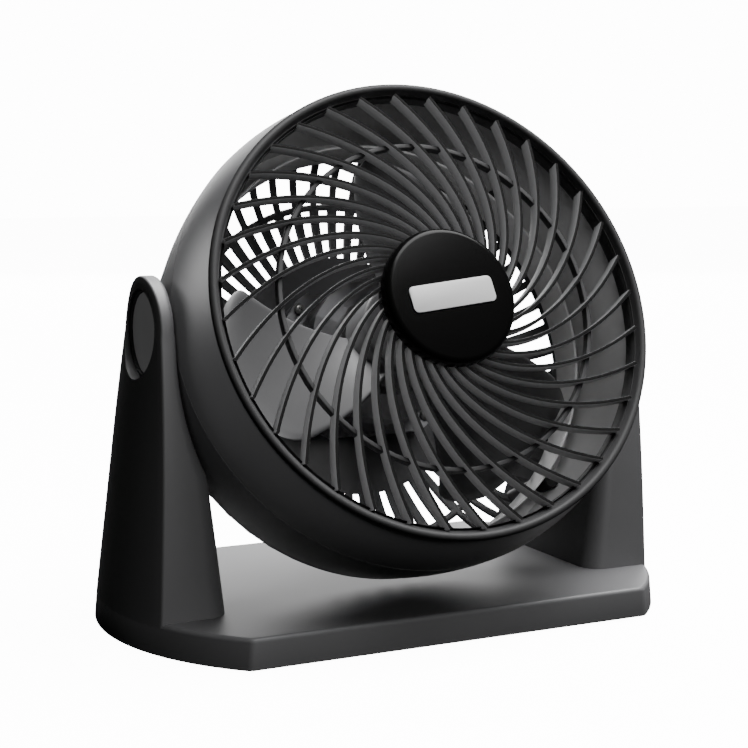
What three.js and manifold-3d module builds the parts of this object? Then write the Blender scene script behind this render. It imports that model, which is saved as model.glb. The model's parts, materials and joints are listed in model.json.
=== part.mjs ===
// A table-top air circulator: a round tilting head held between the two arms of a U-shaped stand.
// Millimetres. +Z is up, the air leaves towards -Y at rest, and X runs along the tilt axis.
import * as THREE from "three";
import { mergeVertices } from "three/addons/utils/BufferGeometryUtils.js";
import Module from "manifold-3d";

// Fits between pieces
const SEAT = 0.3; // between pieces that rest on each other
const SLIP = 0.4; // between a round piece and the hole it sits or turns in
const MERGE = 0.6; // how far a rib, vane or boss runs into the wall that carries it

// The stand, seen from above: straight front and rear edges and two bowed sides
const STAND_DEPTH = 178;
const STAND_SIDE_RADIUS = 121.5;
const STAND_CORNER_RADIUS = 5;
const STAND_SETBACK = 14.7; // middle of the stand behind the tilt axis
const STAND_TOP = 15.8;
const STAND_EDGE_RADIUS = 2;
const STAND_WALL = 2.6;
const SKIRT_LIFT = 1.2; // lower edge of the skirt above the table
const PLATE_RECESS = 1.2; // bottom plate inside the skirt
const PLATE_THICKNESS = 2.2;
const FOOT_RADIUS = 8;
const FOOT_SIDE_INSET = 34.4; // foot centres inside the widest part of the sides
const FOOT_END_INSET = 35; // and inside the front and rear edges
const RIB_THICKNESS = 1.8;
const RIB_SPACING = 32; // of the ribs that run across
const LONG_RIB_SPACING = 48; // of the ribs that run from front to rear

// The arms
const HEAD_CLEARANCE = 1.1; // between the level head and the stand's top
const ARM_TOP_RADIUS = 26.8;
const ARM_THICKNESS = 8.6; // at the tilt axis
const ARM_LEAN = 15.1; // how far the outer face comes in between the table and the tilt axis
const ARM_FOOT_FRONT = 34.3; // front face ahead of the tilt axis
const ARM_FOOT_REAR = 75; // rear edge behind it
const ARM_FOOT_INSET = 20.6; // inner face at the stand's top, inside the belly's radius
const ARM_INNER_SLOPE = 0.13;
const ARM_GAP = 1.1; // between the head and an arm
const ARM_HOLLOW_TOP = 112;
const ARM_CORNER = 0.34; // inner front corner radius as a share of the arm's thickness
const ARM_EDGE = 1.2;

// The tilt joint in each arm
const RECESS_RADIUS = 20.7;
const RECESS_STEP = 1.1;
const RECESS_STEP_DEPTH = 3.2;
const PIVOT_WALL = 2.4; // arm wall that the trunnion passes through
const WASHER_THICKNESS = 1.2;
const WASHER_RADIUS = 12;
const TRUNNION_RADIUS = 6.5;
const PAD_RADIUS = 8;
const PAD_RISE = 0.5; // trunnion shoulder beyond the belly of the shell
const CAP_THICKNESS = 1.8;
const CAP_STEM_RADIUS = 4.2;
const CAP_STEM_LENGTH = 6;

// The head, along its own axis: depths count backwards from the plane of the rim
const TILT = 23.2; // degrees that the head looks up at rest
const HEAD_DROP = 9.5; // head axis below the tilt axis
const RIM_AHEAD = 54.3; // rim plane ahead of the tilt axis
const BEAD_RADIUS = 2.2;
const BEAD_INSET = 0.96; // bead's middle inside the shell's front edge
const LIP_WIDTH = 4.16; // from the shell's front edge in to the grille's skirt
const SKIRT_WALL = 1.5;
const SKIRT_DEPTH = 8;
const BELLY_RADIUS = 117.6;
const FRONT_BELLY = 42; // depth that the front ring's wall bows about
const FRONT_BOW = 116;
const REAR_BELLY = 32; // and the rear shell's wall
const REAR_BOW = 264;
const SHELL_WALL = 2.2;
const LIP_DEPTH = 2.2;
const SEAM_DEPTH = 37;
const SLEEVE_WALL = 1.4; // front ring's sleeve inside the rear shell
const DOME_START = 84;
const DOME_END = 112;
const DOME_FLAT_RADIUS = 60;
const CENTRE_HOLE_RADIUS = 30;

// The front grille
const VANES = 36;
const VANE_THICKNESS = 1.7;
const VANE_WIDTH = 7;
const VANE_SPIRAL = 0.79; // turn in radians for each e-fold of radius
const HUB_RADIUS = 30.5;
const HUB_WALL = 2.1;
const HUB_RISE = 9;
const VANE_HUB_RISE = 7;
const VANE_RIM_RISE = 0.8;
const MID_RING_RADIUS = 79;
const MID_RING_WALL = 2.2;
const MID_RING_WIDTH = 4.2;
const CAP_OVERHANG = 1.8; // cap's edge beyond the hub
const CAP_FACE = 3.4;
const CAP_BEVEL = 2.6;
const CAP_SKIRT = 5;
const BADGE_LENGTH = 40.5;
const BADGE_HEIGHT = 14.5;
const BADGE_CORNER = 2.6;
const BADGE_THICKNESS = 1;
const BADGE_POCKET = 0.6;
const BADGE_TURN = 8; // degrees

// The intake ring inside, and the rear grille
const INTAKE_INSET = 16.9; // the ring's front edge inside the belly's radius
const INTAKE_FLARE = 0.9;
const INTAKE_WALL = 1.4;
const INTAKE_FRONT = 50;
const FLANGE_DEPTH = 70;
const FLANGE_THICKNESS = 1.6;
const SLOTS = 54;
const SLOT_SHARE = 0.49; // share of the pitch that is open
const SLOT_REACH = 4; // inner ends beyond the dome's flat middle
const SLOT_INSET = 27.9; // outer ends inside the belly's radius
const POST_RADIUS = 4;
const POST_INSET = 10.2; // post centres inside the belly's radius
const POST_SHOULDER = 78;
const BOSS_LENGTH = 12;

// The fan and its motor
const BLADES = 3;
const TIP_GAP = 11.7; // between a blade's tip and the intake ring
const BLADE_FRONT = 35;
const BLADE_REAR = 57;
const BLADE_THICKNESS = 2.2;
const BLADE_PHASE = 85; // degrees round to the first blade's root
const BLADE_SPREAD = 31; // degrees each way from the blade's middle line
const BLADE_SWEEP = 19; // degrees that the root is ahead of the tip
const BLADE_TIP = 0.5; // spread at the tip, as a share of the full spread
const TIP_START = 0.82; // share of the blade's reach at which its tip starts to round off
const BLADE_CAMBER = 2.5;
const FAN_HUB_RADIUS = 24;
const FAN_HUB_FRONT = 33;
const FAN_HUB_REAR = 56;
const FAN_WALL = 2.4;
const SHAFT_RADIUS = 3.5;
const SHAFT_FRONT = 27;
const NUT_RADIUS = 8;
const NUT_LENGTH = 5.5;
const NUT_BEVEL = 1.5;
const MOTOR_RADIUS = 37;
const MOTOR_MIDDLE = 84;
const CORE_LENGTH = 14;
const CORE_BORE = 21.3;
const ROTOR_GAP = 0.5;
const ROTOR_LENGTH = 16;
const WINDING_INNER = 24;
const WINDING_OUTER = 33;
const WINDING_LENGTH = 6.4;
const WINDING_BEVEL = 1.8;
const BRACKET_WALL = 2.2;
const BRACKET_LENGTH = 18;
const BRACKET_SHOULDER = 0.7; // shoulder radius as a share of the motor's
const NOSE_RADIUS = 11;
const BUSH_RADIUS = 8;
const BUSH_LENGTH = 6.5;
const EAR_RADIUS = 46;
const EAR_THICKNESS = 2;
const MOTOR_POST_PLACE = 42;
const MOTOR_POSTS = 4;

// The rear cover, the switch and its knob
const COVER_RADIUS = 34;
const COVER_FLANGE = 44;
const COVER_DEPTH = 11.7;
const COVER_WALL = 2.2;
const COVER_SCREWS = 3;
const COVER_SCREW_PLACE = 39.5;
const SWITCH_SIZE = 26;
const SWITCH_LENGTH = 8;
const SWITCH_FLOOR = 2; // left under the spindle's bore
const SPINDLE_RADIUS = 3;
const KNOB_RADIUS = 14;
const KNOB_LENGTH = 11;
const KNOB_BODY = 4;
const KNOB_GRIP = 6;
const KNOB_BEVEL = 1;
const GLAND_PLACE = 24.5; // below the knob
const GLAND_RADIUS = 5;
const GLAND_BORE = 2.9;
const GLAND_FLANGE = 1.5;

// Screws, all self-tapping with a pan head
const SCREW_RADIUS = 1.5;
const SCREW_HEAD = 3;
const SCREW_HEAD_LENGTH = 1.4;
const BASE_SCREW_LENGTH = 9;
const SHELL_SCREW_LENGTH = 16;
const MOTOR_SCREW_LENGTH = 12;
const COVER_SCREW_LENGTH = 8;
const SCREW_BOSS = 4.2;
const BASE_SCREW_SIDE_INSET = 58.4; // inside the widest part of the sides
const BASE_SCREW_END_INSET = 23; // inside the front and rear edges

// Sizes that follow from the ones above
const STAND_WIDTH = 2 * (BELLY_RADIUS + ARM_GAP + ARM_THICKNESS + ARM_LEAN);
const PIVOT_HEIGHT = STAND_TOP + HEAD_CLEARANCE + BELLY_RADIUS + HEAD_DROP;
const ARM_FOOT_SPAN = BELLY_RADIUS - ARM_FOOT_INSET;
const FOOT_X = STAND_WIDTH / 2 - FOOT_SIDE_INSET;
const FOOT_Y = STAND_DEPTH / 2 - FOOT_END_INSET;
const BASE_SCREW_X = STAND_WIDTH / 2 - BASE_SCREW_SIDE_INSET;
const BASE_SCREW_Y = STAND_DEPTH / 2 - BASE_SCREW_END_INSET;
const RIM_RADIUS = shellRadius(LIP_DEPTH) - BEAD_INSET;
const SKIRT_RADIUS = shellRadius(LIP_DEPTH) - LIP_WIDTH;
const CAP_RADIUS = HUB_RADIUS + CAP_OVERHANG;
const INTAKE_RADIUS = BELLY_RADIUS - INTAKE_INSET;
const SLEEVE_END = FLANGE_DEPTH - SEAT;
const POST_PLACE = BELLY_RADIUS - POST_INSET;
const BLADE_RADIUS = INTAKE_RADIUS - TIP_GAP;

// Facets
const RING_STEPS = 36;
const PART_STEPS = 18;
const SMALL_STEPS = 8;
const KNOB_STEPS = 24;
const SCREW_STEPS = 6;
const SIDE_STEPS = 8;
const VANE_STEPS = 3;
const CHORD_STEPS = 5;
const FACE_POINTS = 6;
const DOME_STEPS = 4;

const FULL_TURN = Math.PI * 2;
const X_AXIS = new THREE.Vector3(1, 0, 0);
const Y_AXIS = new THREE.Vector3(0, 1, 0);
const Z_AXIS = new THREE.Vector3(0, 0, 1);
const wasm = await Module();
wasm.setup();

// Materials
const finish = (color, roughness, metalness = 0) =>
  new THREE.MeshStandardMaterial({ color, roughness, metalness });
const satinBlack = finish(0x2b2b2c, 0.5);
const glossBlack = finish(0x141415, 0.25);
const innerBlack = finish(0x232324, 0.6);
const badgeGrey = finish(0xd8d8d8, 0.45);
const rubber = finish(0x1a1a1a, 0.9);
const steel = finish(0xb4b6b8, 0.35, 1);
const zincPlate = finish(0x8f9294, 0.45, 1);
const copper = finish(0xa8603a, 0.4, 1);
const bronze = finish(0x9a7a45, 0.5, 1);
const paleNylon = finish(0xcfccc2, 0.6);

// Solids

// A closed geometry as a solid whose faces point outwards.
function solid(geometry) {
  const bare = geometry.clone();
  bare.deleteAttribute("normal");
  bare.deleteAttribute("uv");
  const closed = mergeVertices(bare, 1e-4);
  const corners = Array.from(closed.index.array);
  const kept = [];
  for (let i = 0; i < corners.length; i += 3) {
    const [a, b, c] = corners.slice(i, i + 3);
    if (a !== b && b !== c && c !== a) kept.push(a, b, c);
  }
  const vertProperties = new Float32Array(closed.attributes.position.array);
  const make = (list) =>
    new wasm.Manifold(new wasm.Mesh({ numProp: 3, vertProperties, triVerts: new Uint32Array(list) }));
  const made = make(kept);
  return made.volume() > 0 ? made : make(kept.reverse());
}

const join = (first, ...rest) => rest.reduce((all, next) => all.add(next), first);
const cut = (body, ...tools) => tools.reduce((left, tool) => left.subtract(tool), body);

function geometryOf(shape) {
  const mesh = shape.getMesh();
  const geometry = new THREE.BufferGeometry();
  geometry.setAttribute("position", new THREE.BufferAttribute(mesh.vertProperties, 3));
  geometry.setIndex(new THREE.BufferAttribute(mesh.triVerts, 1));
  geometry.computeVertexNormals();
  return geometry;
}

// A solid turned about Z from a profile of [radius, height] points.
function revolve(profile, steps = RING_STEPS) {
  const closed = profile[0][0] > 0 ? [...profile, profile[0]] : profile;
  const points = closed.map(([radius, height]) => new THREE.Vector2(radius, height));
  return solid(new THREE.LatheGeometry(points, steps).rotateX(Math.PI / 2));
}

const ring = (inner, outer, low, high, steps) =>
  revolve([[inner, low], [outer, low], [outer, high], [inner, high]], steps);

// A rod along Z from low to high.
function rod(radius, low, high, steps = SMALL_STEPS, x = 0, y = 0) {
  const shape = new THREE.CylinderGeometry(radius, radius, high - low, steps);
  return solid(shape.rotateX(Math.PI / 2).translate(x, y, (low + high) / 2));
}

// A rod along X from low to high.
function crossRod(radius, low, high, y, z, steps = PART_STEPS) {
  const shape = new THREE.CylinderGeometry(radius, radius, Math.abs(high - low), steps);
  return solid(shape.rotateZ(Math.PI / 2).translate((low + high) / 2, y, z));
}

// A block between two corners.
function block(low, high) {
  const [w, d, h] = high.map((v, i) => v - low[i]);
  const [x, y, z] = high.map((v, i) => (v + low[i]) / 2);
  return solid(new THREE.BoxGeometry(w, d, h).translate(x, y, z));
}

// A solid through convex outlines that all have the same number of points.
function loft(sections) {
  const count = sections[0].length;
  const faces = [];
  for (let s = 0; s + 1 < sections.length; s++) {
    for (let i = 0; i < count; i++) {
      const a = s * count + i;
      const b = s * count + ((i + 1) % count);
      faces.push(a, b, b + count, a, b + count, a + count);
    }
  }
  const last = (sections.length - 1) * count;
  for (let i = 1; i + 1 < count; i++) faces.push(0, i + 1, i, last, last + i, last + i + 1);
  const geometry = new THREE.BufferGeometry().setFromPoints(sections.flat());
  geometry.setIndex(faces);
  return solid(geometry);
}

// Points of an arc in the XY plane.
function arc(x, y, radius, from, to, steps) {
  return Array.from({ length: steps + 1 }, (_, i) => {
    const angle = from + ((to - from) * i) / steps;
    return [x + radius * Math.cos(angle), y + radius * Math.sin(angle)];
  });
}

const mix = (a, b, share) => a + (b - a) * share;
const range = (count) => Array.from({ length: count }, (_, i) => i);
const radians = THREE.MathUtils.degToRad;

// The stand

// How far the sides of the stand and the outer faces of the arms have come in at a height.
const sideLean = (z) => (ARM_LEAN * z) / PIVOT_HEIGHT;

// The stand's outline at a height, drawn in by an inset.
function standOutline(z, inset) {
  const corner = Math.max(STAND_CORNER_RADIUS - inset, 1);
  const side = STAND_SIDE_RADIUS - inset;
  const sideX = STAND_WIDTH / 2 - STAND_SIDE_RADIUS - sideLean(z);
  const reach = STAND_DEPTH / 2 - inset - corner;
  const turn = Math.asin(reach / (side - corner));
  const cornerX = sideX + (side - corner) * Math.cos(turn);
  const right = [
    ...arc(cornerX, -reach, corner, -Math.PI / 2, -turn, 3),
    ...arc(sideX, 0, side, -turn, turn, SIDE_STEPS).slice(1, -1),
    ...arc(cornerX, reach, corner, turn, Math.PI / 2, 3),
  ];
  const left = right.map(([x, y]) => [-x, -y]);
  return [...right, ...left].map(([x, y]) => new THREE.Vector3(x, y + STAND_SETBACK, z));
}

// Inner face of an arm: it follows the round head, and below that it stands nearly straight.
function armInner(z) {
  const below = Math.max(PIVOT_HEIGHT - HEAD_DROP - z, 0);
  const head = below < BELLY_RADIUS ? Math.sqrt(BELLY_RADIUS ** 2 - below ** 2) + ARM_GAP : 0;
  return Math.max(head, ARM_FOOT_SPAN + ARM_INNER_SLOPE * (z - STAND_TOP));
}

// Outer face of an arm: it carries on the bowed side of the stand, leaning in as it rises.
function armOuter(z, y) {
  const rise = THREE.MathUtils.clamp((z - STAND_TOP) / (PIVOT_HEIGHT - STAND_TOP), 0, 1);
  const crownY = mix(STAND_SETBACK, 0, rise);
  const bow = STAND_SIDE_RADIUS - Math.sqrt(STAND_SIDE_RADIUS ** 2 - (y - crownY) ** 2);
  return STAND_WIDTH / 2 - sideLean(z) - bow;
}

// An arm's outline at a height, drawn in by an inset. side is 1 for +X and -1 for -X.
function armSection(z, inset, side) {
  const rise = Math.min(z / PIVOT_HEIGHT, 1);
  const front = -mix(ARM_FOOT_FRONT, ARM_TOP_RADIUS, rise ** 3) + inset;
  const rear = mix(ARM_FOOT_REAR, ARM_TOP_RADIUS, rise) - inset;
  const inner = armInner(z) + inset;
  const outer = (y) => armOuter(z, y) - inset;
  const corner = ARM_CORNER * (outer(front) - inner);
  const bands = FACE_POINTS - 1;
  const face = range(FACE_POINTS).map((i) => mix(front + ARM_EDGE, rear - ARM_EDGE, i / bands));
  const points = [
    [inner, rear - ARM_EDGE],
    ...arc(inner + corner, front + corner, corner, Math.PI, 1.5 * Math.PI, 3),
    [outer(front) - ARM_EDGE, front],
    ...face.map((y) => [outer(y), y]),
    [outer(rear) - ARM_EDGE, rear],
    [inner + ARM_EDGE, rear],
  ];
  return points.map(([x, y]) => new THREE.Vector3(side * x, y, z));
}

const armHeights = (from, to, steps) => range(steps + 1).map((i) => mix(from, to, i / steps));

// A rounded top is cut with a profile seen along X.
function armProfile() {
  const wide = STAND_DEPTH;
  const shape = new THREE.Shape();
  shape.moveTo(-wide, -SKIRT_LIFT);
  shape.lineTo(wide, -SKIRT_LIFT);
  shape.lineTo(wide, PIVOT_HEIGHT);
  shape.lineTo(ARM_TOP_RADIUS, PIVOT_HEIGHT);
  shape.absarc(0, PIVOT_HEIGHT, ARM_TOP_RADIUS, 0, Math.PI, false);
  shape.lineTo(-wide, PIVOT_HEIGHT);
  shape.closePath();
  const options = { depth: STAND_WIDTH * 2, bevelEnabled: false, curveSegments: SMALL_STEPS };
  const extruded = new THREE.ExtrudeGeometry(shape, options).translate(0, 0, -STAND_WIDTH);
  return solid(extruded.applyMatrix4(new THREE.Matrix4().makeBasis(Y_AXIS, Z_AXIS, X_AXIS)));
}

function arm(side) {
  const top = PIVOT_HEIGHT + ARM_TOP_RADIUS;
  const heights = [...armHeights(STAND_TOP - STAND_EDGE_RADIUS, PIVOT_HEIGHT, 7), top];
  return loft(heights.map((z) => armSection(z, 0, side))).intersect(armProfile());
}

function armHollow(side) {
  const heights = armHeights(STAND_TOP - STAND_WALL - MERGE, ARM_HOLLOW_TOP, 3);
  return loft(heights.map((z) => armSection(z, STAND_WALL, side)));
}

// Faces of the tilt joint, from the middle of the fan outwards
const PAD_FACE = BELLY_RADIUS + PAD_RISE;
const POCKET_FLOOR = PAD_FACE + SEAT + WASHER_THICKNESS + SEAT;
const RECESS_FLOOR = POCKET_FLOOR + PIVOT_WALL;
const CAP_FACE_INNER = RECESS_FLOOR + SEAT;
const CAP_STEM_END = CAP_FACE_INNER - CAP_STEM_LENGTH;
const BEYOND = STAND_WIDTH; // past everything, for a cutting tool

function tiltCuts(side) {
  const hole = (radius, from, to) => crossRod(radius, side * from, side * to, 0, PIVOT_HEIGHT);
  return [
    hole(WASHER_RADIUS + SLIP, BELLY_RADIUS - RECESS_RADIUS, POCKET_FLOOR),
    hole(TRUNNION_RADIUS + SLIP, BELLY_RADIUS - RECESS_RADIUS, BEYOND),
    hole(RECESS_RADIUS - RECESS_STEP, RECESS_FLOOR, BEYOND),
    hole(RECESS_RADIUS, RECESS_FLOOR + RECESS_STEP_DEPTH, BEYOND),
  ];
}

const PLATE_LOW = SKIRT_LIFT + PLATE_RECESS;
const PLATE_HIGH = PLATE_LOW + PLATE_THICKNESS;
const SLAB_CEILING = STAND_TOP - STAND_WALL;
const baseScrewPlaces = [[-1, -1], [1, -1], [1, 1], [-1, 1]].map(([x, y]) => [
  x * BASE_SCREW_X,
  y * BASE_SCREW_Y + STAND_SETBACK,
]);

function standRibs() {
  const low = PLATE_HIGH + SEAT;
  const high = SLAB_CEILING + MERGE;
  const half = RIB_THICKNESS / 2;
  const across = [-1, 0, 1].map((i) => {
    const y = STAND_SETBACK + i * RIB_SPACING;
    return block([-BASE_SCREW_X, y - half, low], [BASE_SCREW_X, y + half, high]);
  });
  const along = [-1, 0, 1].map((i) => {
    const x = i * LONG_RIB_SPACING;
    const reach = BASE_SCREW_Y;
    return block([x - half, STAND_SETBACK - reach, low], [x + half, STAND_SETBACK + reach, high]);
  });
  return [...across, ...along];
}

function standShell() {
  const edge = STAND_EDGE_RADIUS;
  const chamfer = edge / 3;
  const slab = loft([
    standOutline(SKIRT_LIFT, chamfer),
    standOutline(SKIRT_LIFT + chamfer, 0),
    standOutline(STAND_TOP - edge, 0),
    standOutline(STAND_TOP - chamfer, chamfer),
    standOutline(STAND_TOP, edge),
  ]);
  const hollow = loft([standOutline(0, STAND_WALL), standOutline(SLAB_CEILING, STAND_WALL)]);
  const bosses = baseScrewPlaces.map(([x, y]) =>
    rod(SCREW_BOSS, PLATE_HIGH + SEAT, SLAB_CEILING + MERGE, SMALL_STEPS, x, y));
  const pilots = baseScrewPlaces.map(([x, y]) =>
    rod(SCREW_RADIUS + SEAT, 0, SLAB_CEILING + MERGE, SCREW_STEPS, x, y));
  const outside = join(slab, arm(-1), arm(1));
  const shell = cut(outside, hollow, armHollow(-1), armHollow(1));
  const ribbed = join(shell, ...standRibs(), ...bosses);
  return cut(ribbed, ...pilots, ...tiltCuts(-1), ...tiltCuts(1));
}

function bottomPlate() {
  const inset = STAND_WALL + SLIP;
  const plate = loft([standOutline(PLATE_LOW, inset), standOutline(PLATE_HIGH, inset)]);
  const holes = baseScrewPlaces.map(([x, y]) =>
    rod(SCREW_RADIUS + SLIP, 0, STAND_TOP, SCREW_STEPS, x, y));
  return cut(plate, ...holes);
}

// The head's shells. Depth counts backwards from the plane of the rim, and at() turns it into a height.
const at = (depth) => RIM_AHEAD - depth;

// Radius of the head's outside, with a crease at the seam.
function shellRadius(depth) {
  const [belly, bow] = depth < SEAM_DEPTH ? [FRONT_BELLY, FRONT_BOW] : [REAR_BELLY, REAR_BOW];
  return BELLY_RADIUS - bow + Math.sqrt(bow ** 2 - (depth - belly) ** 2);
}

const wallPoints = (from, to, steps, inset, lastInset = inset) =>
  range(steps + 1).map((i) => {
    const depth = mix(from, to, i / steps);
    return [shellRadius(depth) - mix(inset, lastInset, i / steps), at(depth)];
  });

const postAngles = range(4).map((i) => FULL_TURN * (i + 0.5) / 4);
const around = (angles, place) => angles.map((a) => [place * Math.cos(a), place * Math.sin(a)]);
const postPlaces = around(postAngles, POST_PLACE);
const SLEEVE_INSET = SHELL_WALL + SLIP;
const INNER_INSET = SLEEVE_INSET + SLEEVE_WALL;

// A web from a boss in the front ring out to the sleeve.
function bossWeb(angle, front, rear) {
  const reach = shellRadius(rear) - INNER_INSET + MERGE;
  const web = new THREE.BoxGeometry(reach - POST_PLACE, RIB_THICKNESS, rear - front);
  return solid(web.translate((reach + POST_PLACE) / 2, 0, at((front + rear) / 2)).rotateZ(angle));
}

// The front ring: its outer wall ends at the seam, and a sleeve runs on inside the rear shell.
function frontShell() {
  const lipRadius = SKIRT_RADIUS + SLIP;
  const front = LIP_DEPTH + SHELL_WALL;
  const shell = revolve([
    ...wallPoints(LIP_DEPTH, SEAM_DEPTH, 5, 0),
    ...wallPoints(SEAM_DEPTH, SLEEVE_END, 2, SLEEVE_INSET),
    ...wallPoints(SEAM_DEPTH, SLEEVE_END, 2, INNER_INSET).reverse(),
    ...wallPoints(front, SEAM_DEPTH, 4, SHELL_WALL, INNER_INSET).reverse().slice(1),
    [lipRadius, at(front)],
    [lipRadius, at(LIP_DEPTH)],
  ]);
  const bossFront = SLEEVE_END - BOSS_LENGTH;
  const bosses = postPlaces.map(([x, y]) =>
    rod(POST_RADIUS, at(SLEEVE_END), at(bossFront), SMALL_STEPS, x, y));
  const webs = postAngles.map((angle) => bossWeb(angle, bossFront + MERGE, SLEEVE_END));
  const pilots = postPlaces.map(([x, y]) =>
    rod(SCREW_RADIUS + SEAT, at(FLANGE_DEPTH), at(bossFront + SHELL_WALL), SCREW_STEPS, x, y));
  return cut(join(shell, ...bosses, ...webs), ...pilots);
}

// The dome behind the belly: a quarter ellipse that runs into a flat centre.
function domePoints(inset) {
  const across = shellRadius(DOME_START) - DOME_FLAT_RADIUS - inset;
  const along = DOME_END - DOME_START - inset;
  return range(DOME_STEPS + 1).map((i) => {
    const turn = ((i + 1) / (DOME_STEPS + 1)) * (Math.PI / 2);
    return [DOME_FLAT_RADIUS + across * Math.cos(turn), at(DOME_START + along * Math.sin(turn))];
  });
}

const PLATE_FRONT = DOME_END - SHELL_WALL;
const motorPostAngles = range(MOTOR_POSTS).map((i) => (FULL_TURN * (i + 0.5)) / MOTOR_POSTS);
const motorPostPlaces = around(motorPostAngles, MOTOR_POST_PLACE);
const coverScrewAngles = range(COVER_SCREWS).map((i) => FULL_TURN * (i / COVER_SCREWS + 0.25));
const coverScrewPlaces = around(coverScrewAngles, COVER_SCREW_PLACE);
const CORE_FRONT = MOTOR_MIDDLE - CORE_LENGTH / 2;
const CORE_REAR = MOTOR_MIDDLE + CORE_LENGTH / 2;
const EAR_REAR = CORE_REAR + SEAT + EAR_THICKNESS;

// A radial slot that widens outwards with the pitch, cut along the head's axis.
function rearSlot(i) {
  const pitch = FULL_TURN / SLOTS;
  const [inner, outer] = [DOME_FLAT_RADIUS + SLOT_REACH, BELLY_RADIUS - SLOT_INSET];
  const edges = [-0.5, 0.5].map((side) => pitch * (i + 0.5 + side * SLOT_SHARE));
  const corners = [[inner, edges[0]], [outer, edges[0]], [outer, edges[1]], [inner, edges[1]]];
  const outline = (depth) => corners.map(([radius, angle]) =>
    new THREE.Vector3(radius * Math.cos(angle), radius * Math.sin(angle), at(depth)));
  return loft([outline(DOME_END + MERGE), outline(DOME_START)]);
}

// The flat-topped boss and the hollow trunnion that the head tilts on.
function trunnion(side) {
  const inside = BELLY_RADIUS - SHELL_WALL + MERGE;
  const rodAt = (radius, from, to) => crossRod(radius, side * from, side * to, HEAD_DROP, 0);
  const boss = join(rodAt(PAD_RADIUS, inside, PAD_FACE), rodAt(TRUNNION_RADIUS, inside, RECESS_FLOOR));
  return [boss, rodAt(CAP_STEM_RADIUS + SLIP, CAP_STEM_END - SEAT, BEYOND)];
}

function rearShell() {
  const front = SEAM_DEPTH + SEAT;
  const outer = [...wallPoints(front, DOME_START, 3, 0), ...domePoints(0)];
  const inner = [...wallPoints(front, DOME_START, 3, SHELL_WALL), ...domePoints(SHELL_WALL)];
  const hole = [[CENTRE_HOLE_RADIUS, at(DOME_END)], [CENTRE_HOLE_RADIUS, at(PLATE_FRONT)]];
  const shell = cut(revolve([...outer, ...hole, ...inner.reverse()]), ...range(SLOTS).map(rearSlot));
  const envelope = revolve([[0, at(front)], ...outer, [0, at(DOME_END)]]);
  const rods = (places, radius, from, to, steps) =>
    places.map(([x, y]) => rod(radius, at(from), at(to), steps, x, y));
  const postFront = FLANGE_DEPTH + FLANGE_THICKNESS + SEAT;
  const [leftBoss, leftBore] = trunnion(-1);
  const [rightBoss, rightBore] = trunnion(1);
  const posts = rods(postPlaces, POST_RADIUS + SLIP, DOME_END, postFront, SMALL_STEPS);
  const bodies = [
    ...posts.map((post) => post.intersect(envelope)),
    ...rods(motorPostPlaces, POST_RADIUS, PLATE_FRONT + MERGE, EAR_REAR + SEAT, SMALL_STEPS),
    ...rods(coverScrewPlaces, POST_RADIUS, PLATE_FRONT + MERGE, DOME_END - COVER_SCREW_LENGTH, SMALL_STEPS),
    leftBoss,
    rightBoss,
  ];
  const holes = [
    ...rods(postPlaces, SCREW_HEAD + SLIP, DOME_END, POST_SHOULDER, SCREW_STEPS),
    ...rods(postPlaces, SCREW_RADIUS + SLIP, DOME_END, 0, SCREW_STEPS),
    ...rods(motorPostPlaces, SCREW_RADIUS + SEAT, PLATE_FRONT, 0, SCREW_STEPS),
    ...rods(coverScrewPlaces, SCREW_RADIUS + SEAT, DOME_END + MERGE, 0, SCREW_STEPS),
    leftBore,
    rightBore,
  ];
  return cut(join(shell, ...bodies), ...holes);
}

// The intake ring round the blades, with a flange that the screws clamp between the two shells.
function innerDuct() {
  const rear = FLANGE_DEPTH + FLANGE_THICKNESS;
  const flange = shellRadius(rear) - SHELL_WALL - SLIP;
  const throat = INTAKE_RADIUS + INTAKE_FLARE;
  const body = revolve([
    [INTAKE_RADIUS, at(INTAKE_FRONT)],
    [throat, at(rear)],
    [flange, at(rear)],
    [flange, at(FLANGE_DEPTH)],
    [throat + INTAKE_WALL, at(FLANGE_DEPTH)],
    [INTAKE_RADIUS + INTAKE_WALL, at(INTAKE_FRONT)],
  ]);
  const holes = postPlaces.map(([x, y]) =>
    rod(SCREW_RADIUS + SLIP, at(rear + SEAT), at(FLANGE_DEPTH - SEAT), SCREW_STEPS, x, y));
  return cut(body, ...holes);
}

// The front grille

// How far the vanes' front edges stand ahead of the rim's plane.
function vaneRise(radius) {
  const share = (radius - HUB_RADIUS) / (SKIRT_RADIUS - HUB_RADIUS);
  return mix(VANE_HUB_RISE, VANE_RIM_RISE, Math.max(share, 0) ** 2);
}

// A vane's four corners at a radius, square to its spiral.
function vaneSection(radius, start) {
  const angle = start + VANE_SPIRAL * Math.log(radius / HUB_RADIUS);
  const lean = angle + Math.atan(VANE_SPIRAL);
  const [x, y] = [radius * Math.cos(angle), radius * Math.sin(angle)];
  const half = VANE_THICKNESS / 2;
  const [dx, dy] = [-half * Math.sin(lean), half * Math.cos(lean)];
  const front = at(-vaneRise(radius));
  return [
    new THREE.Vector3(x + dx, y + dy, front),
    new THREE.Vector3(x - dx, y - dy, front),
    new THREE.Vector3(x - dx, y - dy, front - VANE_WIDTH),
    new THREE.Vector3(x + dx, y + dy, front - VANE_WIDTH),
  ];
}

function vane(start) {
  const from = HUB_RADIUS - HUB_WALL / 2;
  const to = SKIRT_RADIUS - SKIRT_WALL / 2;
  const place = (i) => from * (to / from) ** (i / VANE_STEPS);
  return loft(range(VANE_STEPS + 1).map((i) => vaneSection(place(i), start)));
}

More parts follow.
